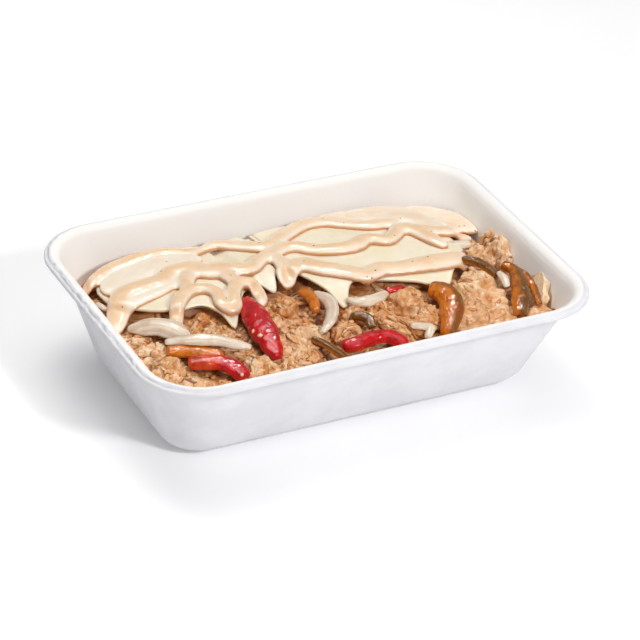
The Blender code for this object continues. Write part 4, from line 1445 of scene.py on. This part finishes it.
        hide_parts(strip.name)
        return made

    def build(self) -> list[bpy.types.Object]:
        """Every strip with the finish of its kind.

        Returns:
            The red ones, which carry the seeds.
        """
        finishes = self.finishes()
        made = [self.build_strip(strip, finishes[strip.kind]) for strip in self.strips]
        return [piece for piece, strip in zip(made, self.strips) if strip.kind is Kind.RED]


class Texture(Enum):
    """How a chunk of meat came apart."""

    CRUMBLY = "crumbly"
    FIBROUS = "fibrous"
    MARBLED = "marbled"


@dataclass(frozen=True)
class Chunk:
    """A torn chunk: place, lift of its top over the meal, three radii, yaw, texture and how browned it is."""

    x: float
    y: float
    lift: float
    rx: float
    ry: float
    rz: float
    yaw: float
    texture: Texture = Texture.CRUMBLY
    tone: float = 0.3


C, F, M = Texture.CRUMBLY, Texture.FIBROUS, Texture.MARBLED


@dataclass(frozen=True)
class MeatHeap:
    """The pulled meat: chunks on a packed core, with crumbs and shreds between them."""

    surface: MealSurface
    cheese: CheeseLayer
    sauce: SauceLayer
    strips: StripLayer
    tray: Tray
    roughness: float = 0.22
    contact: float = 0.6
    margin: float = 3.0
    slope: float = 1.6
    core_depth: float = 3.4
    covered_depth: float = -0.4
    core_edge: float = 35.5
    crumb_count: int = 560
    shred_count: int = 460
    shred_steps: int = 12
    shred_sides: int = 6
    sparse_from: float = 46.0
    chunks: tuple[Chunk, ...] = (
        Chunk(-96, -4, 0.5, 9, 8, 7, 20, C, 0.3), Chunk(-93, -18, 1.5, 10, 9, 8, -30, C, 0.15),
        Chunk(-92, -33, 1.0, 10, 9, 8, 50, C, 0.2), Chunk(-86, -47, 0.5, 10, 9, 8, 10, C, 0.3),
        Chunk(-74, -56, 0.5, 11, 8, 8, -20, C, 0.35), Chunk(-54, -47, 2.4, 13, 9, 9, -15, C, 0.12),
        Chunk(-59, -18, 1.5, 10, 7, 7, -35, C, 0.4), Chunk(-62, -3, -1.0, 9, 7, 6, 30, F, 0.7),
        Chunk(-70, -14, -0.5, 8, 7, 6, 10, F, 0.5), Chunk(-25, -34, 3.4, 15, 14, 11, -35, C, 0.22),
        Chunk(-39, -45, 1.5, 11, 10, 9, 20, C, 0.25), Chunk(-22, -8, 2.0, 11, 9, 8, 40, F, 0.65),
        Chunk(-31, -22, 1.5, 9, 9, 7, 70, C, 0.4), Chunk(-1, -36, 2.2, 10, 8, 8, 15, F, 0.45),
        Chunk(8, -24, 2.2, 8, 6, 6, 0, M, 0.6), Chunk(20, -28, 2.8, 9, 7, 6, 20, F, 0.6),
        Chunk(36, -24, 4.2, 11, 10, 9, 60, M, 0.55), Chunk(27, -40, 2.2, 13, 4, 6, -58, F, 0.5),
        Chunk(21, -41, 1.6, 12, 3.6, 6, -64, F, 0.3), Chunk(36, -41, 1.6, 10, 4, 5, -25, F, 0.4),
        Chunk(43, -37, 1.8, 7, 6, 6, 0, C, 0.5), Chunk(71, -29, 5.0, 17, 12, 11, -25, M, 0.3),
        Chunk(62, -44, 2.4, 11, 10, 9, 10, M, 0.35), Chunk(76, -45, 1.6, 11, 9, 9, -20, M, 0.35),
        Chunk(79, -20, 4.2, 10, 8, 7, -30, M, 0.1), Chunk(91, 3, 2.6, 7, 10, 9, 20, F, 0.1),
        Chunk(102, 0, 8.6, 7, 7, 12, 10, F, 0.1), Chunk(102, 11, 8.8, 6, 6, 12, -20, F, -0.1),
        Chunk(104, -34, 8.0, 9, 13, 13, 15, M, -0.1), Chunk(96, -53, 1.6, 10, 9, 9, -40, M, 0.3),
        Chunk(98, 26, -2.4, 7, 8, 8, 10, C, 0.4), Chunk(94, 44, -3.0, 8, 10, 7, 30, C, 0.5),
        Chunk(-48, -61, 0.4, 13, 8, 8, 10, C, 0.3), Chunk(-24, -61, 0.8, 14, 8, 8, -10, C, 0.4),
        Chunk(2, -62, 0.2, 13, 8, 8, 15, C, 0.3), Chunk(30, -62, 0.6, 13, 8, 8, -12, F, 0.4),
        Chunk(57, -61, 0.6, 14, 8, 8, 8, M, 0.35), Chunk(78, -62, 0.2, 11, 8, 8, -20, C, 0.35),
        Chunk(-104, 12, -1.0, 6, 9, 7, 0, C, 0.6), Chunk(-100, 36, -1.6, 7, 9, 7, 10, C, 0.6),
        Chunk(-80, -3, -0.5, 9, 7, 6, -20, C, 0.5),
    )

    def ceiling(self, x: Array, y: Array) -> Array:
        """Highest that meat may reach: just under the cheese, and freely higher away from its edge.

        Args:
            x: Places along the tray.
            y: Places across the tray.

        Returns:
            One height for each place.
        """
        under = self.surface.level(x, y) + self.cheese.lift - self.cheese.sag(x, y) - self.contact
        middle = (x > self.cheese.ends[0]) & (x < self.cheese.ends[1])
        under = np.where(middle, under - self.cheese.middle_dip(x), under)
        return under + np.maximum(0.0, -self.cheese.cover(x, y) - self.margin) * self.slope

    def core_top(self, x: Array, y: Array) -> Array:
        """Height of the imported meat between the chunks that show.

        Args:
            x: Places along the tray.
            y: Places across the tray.

        Returns:
            One height for each place.
        """
        covered = ease((self.cheese.cover(x, y) - 1.0) / 6.0)
        flat = np.column_stack((x / 9.0, y / 9.0, np.full(len(x), 3.0)))
        bare = self.core_depth + 1.8 * noise_at(flat, 1.0)
        depth = bare + (self.covered_depth - bare) * covered
        return np.minimum(self.surface.level(x, y) - depth, self.ceiling(x, y) - 0.4 * covered)

    @cached_property
    def topping_paths(self) -> list[tuple[Array, Array, float]]:
        """Middle line, half width and depth below that line of each strip and run of sauce.

        Returns:
            One row of line, half widths and depth for each.
        """
        paths = []
        for strip in self.strips.strips:
            centres, widths = self.strips.centre_line(strip, max(8, round(path_length(strip.points) / 1.6)))
            paths.append((centres, widths / 2, strip.thickness / 2 + 0.2))
        for ribbon in self.sauce.ribbons:
            path = smooth_path(ribbon.points, max(8, round(path_length(ribbon.points) / 1.6)))
            base = self.sauce.support(path[:, 0], path[:, 1])
            centres = np.column_stack((path[:, 0], path[:, 1], base))
            paths.append((centres, path[:, 2] * self.sauce.spread, 0.5))
        return paths

    def clear_of_toppings(self, places: Array) -> Array:
        """The highest that each place may reach below the strips and the sauce.

        Args:
            places: One row of x, y, z for each place.

        Returns:
            One height for each place.
        """
        limit = np.full(len(places), 1.0e9)
        for centres, half, depth in self.topping_paths:
            self.lower_under(places, limit, centres, half, depth)
        return limit

    @staticmethod
    def lower_under(places: Array, limit: Array, centres: Array, half: Array, depth: float) -> None:
        """Lowers a limit beneath one path, sloping up again beside it.

        Args:
            places: One row of x, y, z for each place.
            limit: The limit of each place, changed where it lies.
            centres: The path's middle line.
            half: Half its width at each point.
            depth: How far below its line it is clear.
        """
        low = centres[:, :2].min(axis=0) - 14.0
        high = centres[:, :2].max(axis=0) + 14.0
        near = np.nonzero(((places[:, :2] > low) & (places[:, :2] < high)).all(axis=1))[0]
        if len(near) == 0:
            return
        away = np.hypot(places[near, 0, None] - centres[:, 0], places[near, 1, None] - centres[:, 1])
        gap = away - half * 0.8
        allowed = (centres[:, 2] - depth) + np.maximum(gap, 0.0) * 1.5
        limit[near] = np.minimum(limit[near], allowed.min(axis=1))

    @staticmethod
    def fineness(chunk: Chunk) -> int:
        """How finely a chunk is divided: most where it is large, least along the front wall.

        Args:
            chunk: The chunk.

        Returns:
            How often its ball is divided.
        """
        if chunk.y < -60.0:
            return 5
        return 7 if chunk.rx > 14.5 else 6

    def shape_chunk(
        self, index: int, chunk: Chunk, balls: dict[int, Form]
    ) -> tuple[Array, Faces, Array, Array, Array]:
        """A chunk's vertices, faces and finish values, without what lies buried.

        Args:
            index: The chunk's number.
            chunk: The chunk.
            balls: Unit balls by how often they are divided.

        Returns:
            Vertices, faces, own coordinates, crack depths that set painted shade, and brownings.
        """
        unit, faces = balls[self.fineness(chunk)]
        offset = np.array((index * 3.7, index * 1.9, index * 5.3))
        push = np.array([noise.noise(row) for row in (unit * 1.6 + offset).tolist()])
        push += 0.5 * np.array([noise.noise(row) for row in (unit * 3.4 + offset).tolist()])
        body = unit * (1.0 + self.roughness * 1.4 * push)[:, None]
        own = body * np.array((chunk.rx, chunk.ry, chunk.rz))
        cosine = math.cos(math.radians(chunk.yaw))
        sine = math.sin(math.radians(chunk.yaw))
        turn = np.array(((cosine, sine, 0.0), (-sine, cosine, 0.0), (0.0, 0.0, 1.0)))
        top = float(self.surface.level(np.array([float(chunk.x)]), np.array([float(chunk.y)]))[0])
        middle = np.array((chunk.x, chunk.y, top + chunk.lift - chunk.rz))
        places = own @ turn + middle
        floor = self.core_top(places[:, 0], places[:, 1]) - 1.5
        under_cheese = self.cheese.cover(places[:, 0], places[:, 1]) > 5.0
        seen = (places[:, 2] > floor) & ~under_cheese
        kept = [face for face in faces if seen[face[0]] or seen[face[1]] or seen[face[2]]]
        used = sorted({number for face in kept for number in face})
        renumber = {old: new for new, old in enumerate(used)}
        kept = [tuple(renumber[number] for number in face) for face in kept]
        used_rows = np.array(used)
        own = own[used_rows]
        outward = unit[used_rows] / np.array((chunk.rx, chunk.ry, chunk.rz))
        outward /= np.linalg.norm(outward, axis=1, keepdims=True)
        grain = (own[:, ::-1] if chunk.rz > chunk.rx else own) + offset * 3.0
        relief, cavity, browning = self.relief(grain, chunk.texture)
        places = places[used_rows] + (outward @ turn) * relief[:, None]
        return places, kept, grain, cavity, browning

    def relief(self, own: Array, texture: Texture) -> tuple[Array, Array, Array]:
        """How far a chunk's skin stands in or out, how deep in a crack it is, and how browned.

        Args:
            own: Vertices in the chunk's own millimetres, fibres along x.
            texture: How the chunk came apart.

        Returns:
            Relief in millimetres, a crack depth of 0 to 1, and a browning of about -0.5 to 0.5.
        """
        # The crack depth returned here also sets painted shade in the meat's colour.
        warp = np.column_stack([noise_at(own, 0.2, shift) for shift in (1.0, 31.0, 61.0)])
        bent = own + 2.4 * warp
        fine = noise_at(own, 0.95, 4.0)
        swell = noise_at(bent, 0.13, 7.0)
        if texture is Texture.CRUMBLY:
            edge, owner = lumps_at(bent, 0.15)
            clumps = noise_at(bent, 0.30, 11.0)
            flakes = 0.5 - np.abs(noise_at(bent + 0.6 * warp, 0.55, 21.0)) * 1.6
            crack = (1.0 - ease(edge / 0.12)) * ease(noise_at(own, 0.11, 17.0) * 2.2 + 0.25)
            step = (owner - 0.5) * ease(edge / 0.2)
            relief = 1.0 * swell + 1.0 * step + 0.7 * clumps + 0.4 * flakes - 0.8 * crack + 0.2 * fine
            # Painted shade: cracks and low hollows both feed the crevice shade.
            hollow = ease(-1.1 * clumps - 0.9 * flakes - 0.15)
            return relief, np.clip(0.8 * crack + 0.4 * hollow, 0.0, 1.0), 0.4 * (owner - 0.5) - 0.5 * flakes
        if texture is Texture.FIBROUS:
            edge, owner = lumps_at(bent * np.array((0.22, 1.0, 1.0)), 0.2)
            strands = noise_at(bent * np.array((0.07, 0.55, 0.55)), 1.0, 3.0)
            threads = noise_at(bent * np.array((0.12, 1.5, 1.5)), 1.0, 13.0)
            crack = (1.0 - ease(edge / 0.1)) * ease(swell * 2.0 + 0.5)
            step = (owner - 0.5) * ease(edge / 0.2)
            relief = 0.8 * swell + 0.9 * step + 0.6 * strands + 0.2 * threads - 1.0 * crack
            return relief, np.clip(0.7 * crack, 0.0, 1.0), 0.4 * (owner - 0.5) - 0.35 * strands
        swirl = noise_at(bent * np.array((0.05, 0.10, 0.10)), 1.0, 9.0) * 4.0
        leaf = np.abs(swirl - np.round(swirl)) * 2.0
        seam = 1.0 - ease(leaf / 0.22)
        relief = 0.7 * swell - 0.3 * seam + 0.2 * noise_at(bent, 0.35, 2.0) + 0.05 * fine
        return relief, np.clip(seam * 0.22, 0.0, 1.0), 0.35 * swell - 0.3 * ease(leaf / 0.3 - 1.6)

    def build_chunks(self, material: bpy.types.Material) -> list[bpy.types.Object]:
        """Every chunk, gathered into four pieces along the tray.

        Args:
            material: Their finish.

        Returns:
            The four pieces.
        """
        balls = {number: ball(number) for number in (5, 6, 7)}
        groups = [Piece() for _ in range(4)]
        for index, chunk in enumerate(self.chunks):
            places, faces, grain, cavity, browning = self.shape_chunk(index, chunk, balls)
            limit = np.minimum(self.clear_of_toppings(places), self.ceiling(places[:, 0], places[:, 1]))
            places[:, 2] = np.minimum(places[:, 2], limit)
            places = self.tray.hold_inside(places, 0.25)
            number = min(3, max(0, int((chunk.x + 112.0) // 56.0)))
            groups[number].add(places, faces, grain=grain, cavity=cavity, tone=chunk.tone + browning)
        made = []
        for name, group in zip(("left", "near_left", "near_right", "right"), groups):
            made.append(group.make(f"meat_chunks_{name}", material, "pulled_meat"))
        return made

    def build_core(self, material: bpy.types.Material) -> bpy.types.Object:
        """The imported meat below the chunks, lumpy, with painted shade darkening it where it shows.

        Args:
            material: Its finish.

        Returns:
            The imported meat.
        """
        edge = self.tray.ring(*self.tray.half_sizes(self.core_edge), self.core_edge)
        edge[:, :2] *= 0.995
        count = len(edge)
        rings = [edge - np.array((0.0, 0.0, 6.0)), edge]
        shares = 1.0 - np.arange(1, 70) / 70
        for share in shares:
            x = edge[:, 0] * share
            y = edge[:, 1] * share
            rings.append(np.column_stack((x, y, self.core_top(x, y))))
        places = np.concatenate(rings)
        open_meat = ease((-self.cheese.cover(places[:, 0], places[:, 1]) - 1.0) / 3.0)
        lumps = 1.0 - ease(lumps_at(places, 0.28)[0] / 0.4)
        places[:, 2] += open_meat * (0.8 * noise_at(places, 0.2, 4.0) - 0.9 * lumps)
        limit = np.minimum(self.clear_of_toppings(places), self.ceiling(places[:, 0], places[:, 1]))
        places[:, 2] = np.minimum(places[:, 2], limit)
        places = self.tray.hold_inside(places, 0.25)
        faces = grid_faces(len(rings), count, True)
        faces.append(tuple(range((len(rings) - 1) * count, len(rings) * count)))
        piece = Piece()
        # Painted shade: a base of crevice shade, more in the lumps, darkens the core between chunks.
        cavity = np.clip(0.28 + 0.3 * lumps + 0.3 * noise_at(places, 0.15, 8.0), 0.0, 1.0)
        piece.add(places, faces, grain=places, cavity=cavity, tone=np.full(len(places), 0.5))
        made = piece.make("meat_core", material, "pulled_meat")
        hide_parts("meat_heap")
        return made

    def open_spot(self, chance: random.Random) -> tuple[float, float]:
        """A place where the meat isn't covered by cheese.

        Args:
            chance: The draws.

        Returns:
            Its x and y.
        """
        while True:
            x = chance.uniform(-106.0, 106.0)
            y = chance.uniform(-68.0, 62.0)
            place_x = np.array([x])
            place_y = np.array([y])
            if float(self.cheese.cover(place_x, place_y)[0]) < -1.5:
                return x, y

    def build_crumbs(self, ground: BVHTree, material: bpy.types.Material) -> bpy.types.Object:
        """Small torn bits lying on the meat and in its cracks.

        Args:
            ground: What they lie on.
            material: Their finish.

        Returns:
            The crumbs.
        """
        chance = random.Random(11)
        unit, faces = ball(2)
        axis = Vector((0.3, 0.2, 1.0)).normalized()
        piece = Piece()
        for index in range(self.crumb_count):
            x, y = self.open_spot(chance)
            if x > self.sparse_from and chance.random() < 0.75:
                continue
            hit = landing(ground, x, y)[0]
            if hit is None:
                continue
            size = chance.uniform(0.5, 1.0) * chance.choice((1.0, 1.3, 2.2))
            radii = np.array((size, size * chance.uniform(0.5, 1.0), size * chance.uniform(0.4, 0.8)))
            offset = index * 1.37
            body = unit * (1.0 + 0.55 * noise_at(unit, 1.3, offset))[:, None] * radii
            turn = np.array(Matrix.Rotation(chance.uniform(0.0, 6.28), 3, axis))
            places = body @ turn.T + np.array((x, y, hit.z / MM + radii[2] * 0.25))
            limit = self.clear_of_toppings(places) + 0.3
            if float((places[:, 2] - limit).max()) > 0.0:
                continue
            places = self.tray.hold_inside(places, 0.2)
            cavity = np.full(len(places), chance.uniform(0.0, 0.12))
            tone = np.full(len(places), chance.uniform(0.0, 0.9))
            piece.add(places, faces, grain=body + offset * 9.0, cavity=cavity, tone=tone)
        return piece.make("meat_crumbs", material, "pulled_meat")

    def fallen_line(
        self, ground: BVHTree, start: tuple[float, float], length: float, heading: float, bend: float
    ) -> Array | None:
        """The line that a shred lies along once it has dropped on the meat, evened out.

        Args:
            ground: The meat.
            start: Where it starts in plan.
            length: Its length in plan.
            heading: Which way it starts out.
            bend: How far it turns at each step.

        Returns:
            One row of x, y, z for each step, or None where it runs past the meat.
        """
        x, y = start
        path = []
        for _ in range(self.shred_steps):
            hit = landing(ground, x, y)[0]
            if hit is None:
                return None
            path.append((x, y, hit.z / MM))
            x += math.cos(heading) * length / self.shred_steps
            y += math.sin(heading) * length / self.shred_steps
            heading += bend
        line = np.array(path)
        line[:, 2] = np.convolve(np.pad(line[:, 2], 3, mode="edge"), np.ones(7) / 7, mode="valid") + 0.15
        return line

    @staticmethod
    def flat_tube(line: Array, width: float, angle: Array) -> Array:
        """A thin flat tube along a line, tapered at both ends and slightly rough.

        Args:
            line: The line's points.
            width: Half its width at the middle.
            angle: The angles round it at which its sides meet.

        Returns:
            Its vertices, ring by ring.
        """
        along = np.gradient(line, axis=0)
        along /= np.linalg.norm(along, axis=1, keepdims=True)
        side = np.cross(np.array((0.0, 0.0, 1.0)), along)
        side /= np.maximum(np.linalg.norm(side, axis=1, keepdims=True), 1e-6)
        up = np.cross(along, side)
        taper = np.sin(np.linspace(0.08, 0.94, len(line)) * math.pi) ** 0.6
        ring = side[:, None] * (np.cos(angle) * width)[None, :, None]
        ring = (ring + up[:, None] * (np.sin(angle) * width * 0.45)[None, :, None]) * taper[:, None, None]
        places = (line[:, None] + ring).reshape(-1, 3)
        places += 0.12 * noise_at(places, 1.1)[:, None]
        return places

    def build_shreds(self, ground: BVHTree, material: bpy.types.Material) -> bpy.types.Object:
        """Thin torn fibres and flakes that lie across the chunks.

        Args:
            ground: What they lie on.
            material: Their finish.

        Returns:
            The shreds.
        """
        chance = random.Random(23)
        piece = Piece()
        faces = tube_faces(self.shred_steps, self.shred_sides)
        angle = 2 * math.pi * np.arange(self.shred_sides) / self.shred_sides
        for index in range(self.shred_count):
            start = self.open_spot(chance)
            if start[0] > self.sparse_from and chance.random() < 0.6:
                continue
            length = chance.uniform(3.5, 12.0)
            width = chance.uniform(0.4, 1.7)
            heading = chance.uniform(0.0, math.pi)
            line = self.fallen_line(ground, start, length, heading, chance.uniform(-0.12, 0.12))
            if line is None:
                continue
            places = self.flat_tube(line, width, angle)
            limit = self.clear_of_toppings(places) + 0.3
            if float((places[:, 2] - limit).max()) > 0.0:
                continue
            places = self.tray.hold_inside(places, 0.2)
            steps = np.repeat(np.linspace(0.0, length, self.shred_steps), self.shred_sides)
            across = np.tile(np.cos(angle) * width, self.shred_steps)
            grain = np.column_stack((steps, across, np.full(len(places), index * 3.1)))
            tone = np.full(len(places), chance.uniform(0.0, 0.8))
            piece.add(places, faces, grain=grain, cavity=np.zeros(len(places)), tone=tone)
        return piece.make("meat_shreds", material, "pulled_meat")

    def build(self) -> None:
        """The core, the chunks, and what lies loose on them."""
        material = MeatFinish().material()
        solid = [self.build_core(material), *self.build_chunks(material)]
        ground = ground_under(solid)
        self.build_crumbs(ground, material)
        self.build_shreds(ground, material)


def ground_under(solids: list[bpy.types.Object]) -> BVHTree:
    """A tree of every face of some objects, to find their upper side.

    Args:
        solids: The objects.

    Returns:
        The tree.
    """
    places = []
    faces = []
    for solid in solids:
        start = len(places)
        places.extend(vert.co.copy() for vert in solid.data.vertices)
        faces.extend([number + start for number in face.vertices] for face in solid.data.polygons)
    return BVHTree.FromPolygons(places, faces)


def landing(ground: BVHTree, x: float, y: float) -> tuple[Vector | None, Vector | None]:
    """Where something dropped from above lands.

    Args:
        ground: What it drops on.
        x: Its place along the tray.
        y: Its place across the tray.

    Returns:
        The place in metres and the normal there, or None for both where nothing is below.
    """
    place, normal = ground.ray_cast(Vector((x * MM, y * MM, DROP_HEIGHT)), DOWN)[:2]
    return place, normal


@dataclass(frozen=True)
class Sprinkles:
    """Herb specks in the sauce and seeds on the peppers."""

    specks: tuple[tuple[float, float], ...] = (
        (-65, 36), (-53, 56), (-33, 21), (-48, -1), (-94, 16), (-37, 17), (14, 30), (40, 48), (58, 35),
        (77, 63), (70, 7), (51, -3), (60, -2), (24, -7), (30, -4), (75, 22), (99, 30), (103, 26), (26, -8),
        (96, 30), (-9, 44), (33, 57), (68, 41), (-58, 45), (84, 36), (55, 23), (2, 17),
    )
    seeds: tuple[tuple[float, float], ...] = ((-46.8, -27.5), (-45.7, -32.8), (-65.7, -55.4))

    def scatter(
        self, name: str, spots: tuple[tuple[float, float], ...], size: float, flat: float, ground: BVHTree,
        material: bpy.types.Material, slot: str
    ) -> bpy.types.Object:
        """Small uneven bits pressed into what lies under them.

        Args:
            name: The piece's name.
            spots: Where they lie in plan.
            size: Their largest radius.
            flat: Their height as a share of it.
            ground: What they lie on.
            material: Their finish.
            slot: The record's material slot, passed on but not used.

        Returns:
            The object.
        """
        chance = random.Random(len(spots))
        unit, faces = ball(2)
        piece = Piece()
        for index, (x, y) in enumerate(spots):
            hit, normal = landing(ground, x, y)
            if hit is None:
                continue
            radius = size * chance.uniform(0.55, 1.0)
            body = unit * (1.0 + 0.4 * noise_at(unit, 1.2, index * 2.1))[:, None]
            body *= np.array((radius, radius * chance.uniform(0.45, 0.9), radius * flat))
            turn = np.array(normal.to_track_quat("Z", "Y").to_matrix())
            spin = np.array(Matrix.Rotation(chance.uniform(0.0, 6.28), 3, "Z"))
            places = body @ spin.T @ turn.T + np.array(hit) / MM
            piece.add(places, faces)
        return piece.make(name, material, slot)

    def build(self, sauce: bpy.types.Object, peppers: list[bpy.types.Object]) -> None:
        """The specks and the seeds.

        Args:
            sauce: The sauce.
            peppers: The strips that carry seeds.
        """
        herb = PlainFinish("dark_herb", (70, 58, 48), (104, 92, 84), 2.0, 0.6).material()
        seed = PlainFinish("pepper_seed", (240, 206, 160), (226, 184, 130), 1.0, 0.35).material()
        self.scatter("herb_specks", self.specks, 0.62, 0.3, ground_under([sauce]), herb, "creamy_sauce")
        self.scatter("pepper_seeds", self.seeds, 1.7, 0.45, ground_under(peppers), seed, "red_pepper")


@dataclass(frozen=True)
class Studio:
    """A white table, soft lights and the camera at the photograph's angle."""

    azimuth: float = -0.503
    elevation: float = 0.5546
    roll: float = 0.0664
    distance: float = 1.49296
    focal: float = 3085.94
    shift: tuple[float, float] = (7.559, 13.268)
    frame_size: float = 640.0
    target: tuple[float, float, float] = (0.0, 0.0, 0.02)
    lit: tuple[float, float, float] = (0.0, 0.0, 0.03)
    glints: tuple[tuple[str, Point], ...] = (("high", (0.2, 0.45, 0.75)), ("low", (0.05, -0.45, 0.9)))
    table_reach: float = 6.0
    table_top: float = -0.0004
    white: Colour = (1.0, 1.0, 1.0)
    sky: float = 0.26

    def camera(self) -> None:
        """The camera, as fitted to the tray's outline."""
        data = bpy.data.cameras.new("camera")
        data.sensor_width = 36.0
        data.lens = self.focal / self.frame_size * 36.0
        data.shift_x = self.shift[0] / self.frame_size
        data.shift_y = self.shift[1] / self.frame_size
        data.clip_end = 20.0
        made = bpy.data.objects.new("camera", data)
        bpy.context.scene.collection.objects.link(made)
        flat = math.cos(self.elevation)
        high = math.sin(self.elevation)
        back = Vector((math.sin(self.azimuth) * flat, -math.cos(self.azimuth) * flat, high))
        right = Vector((math.cos(self.azimuth), math.sin(self.azimuth), 0.0))
        up = back.cross(right)
        turned_right = right * math.cos(self.roll) + up * math.sin(self.roll)
        turned_up = up * math.cos(self.roll) - right * math.sin(self.roll)
        made.matrix_world = Matrix((turned_right, turned_up, back)).transposed().to_4x4()
        made.matrix_world.translation = Vector(self.target) + back * self.distance
        bpy.context.scene.camera = made

    def light(
        self, name: str, place: Point, aim: Point, size: float, power: float, tint: Colour
    ) -> bpy.types.Object:
        """One soft square light, aimed at a point.

        Args:
            name: The light's name.
            place: Where it stands.
            aim: The point that it faces.
            size: Its side.
            power: Its power in watts.
            tint: Its colour.

        Returns:
            The light.
        """
        data = bpy.data.lights.new(name, "AREA")
        data.shape = "SQUARE"
        data.size = size
        data.energy = power
        data.color = tint
        made = bpy.data.objects.new(name, data)
        made.location = place
        made.rotation_euler = (Vector(aim) - Vector(place)).to_track_quat("-Z", "Y").to_euler()
        bpy.context.scene.collection.objects.link(made)
        return made

    def floor(self) -> None:
        """A wide white table top."""
        mesh = bpy.data.meshes.new("table")
        reach = self.table_reach
        corners = [(-reach, -reach), (reach, -reach), (reach, reach), (-reach, reach)]
        mesh.from_pydata([(x, y, self.table_top) for x, y in corners], [], [(0, 1, 2, 3)])
        table = bpy.data.objects.new("table", mesh)
        bpy.context.scene.collection.objects.link(table)
        finish = PlainFinish("white_table", (254, 254, 254), (252, 252, 253), 0.01, 0.9, 0.1)
        mesh.materials.append(finish.material())

    def build(self) -> None:
        """The table, lights, world and camera."""
        self.floor()
        self.camera()
        self.light("front", (0.15, -0.85, 0.7), self.lit, 0.14, 5.9, (0.985, 0.99, 1.0))
        self.light("back", (-0.1, 0.35, 0.9), self.lit, 0.45, 2.6, (1.0, 0.995, 0.985))
        self.light("over", (0.15, 0.3, 1.6), (0.0, 0.0, 0.0), 1.4, 9.0, self.white)
        for name, place in self.glints:
            glint = self.light(f"glint_{name}", place, self.lit, 0.09, 1.6, self.white)
            glint.visible_diffuse = False
            glint.visible_transmission = False
        world = bpy.data.worlds.new("studio")
        world.use_nodes = True
        background = world.node_tree.nodes["Background"]
        background.inputs["Color"].default_value = (*self.white, 1.0)
        background.inputs["Strength"].default_value = self.sky
        bpy.context.scene.world = world
        bpy.context.scene.view_settings.view_transform = "Standard"


def main() -> None:
    """Builds and dresses the tray and the meal in it."""
    logging.basicConfig(level=logging.INFO)
    surface = MealSurface()
    tray = Tray()
    cheese = CheeseLayer(surface)
    sauce = SauceLayer(surface, cheese, tray)
    strips = StripLayer(surface)
    heap = MeatHeap(surface, cheese, sauce, strips, tray)
    tray.build()
    cheese.build()
    poured = sauce.build()
    peppers = strips.build()
    heap.build()
    Sprinkles().build(poured, peppers)
    Studio().build()


if __name__ == "__main__":
    main()
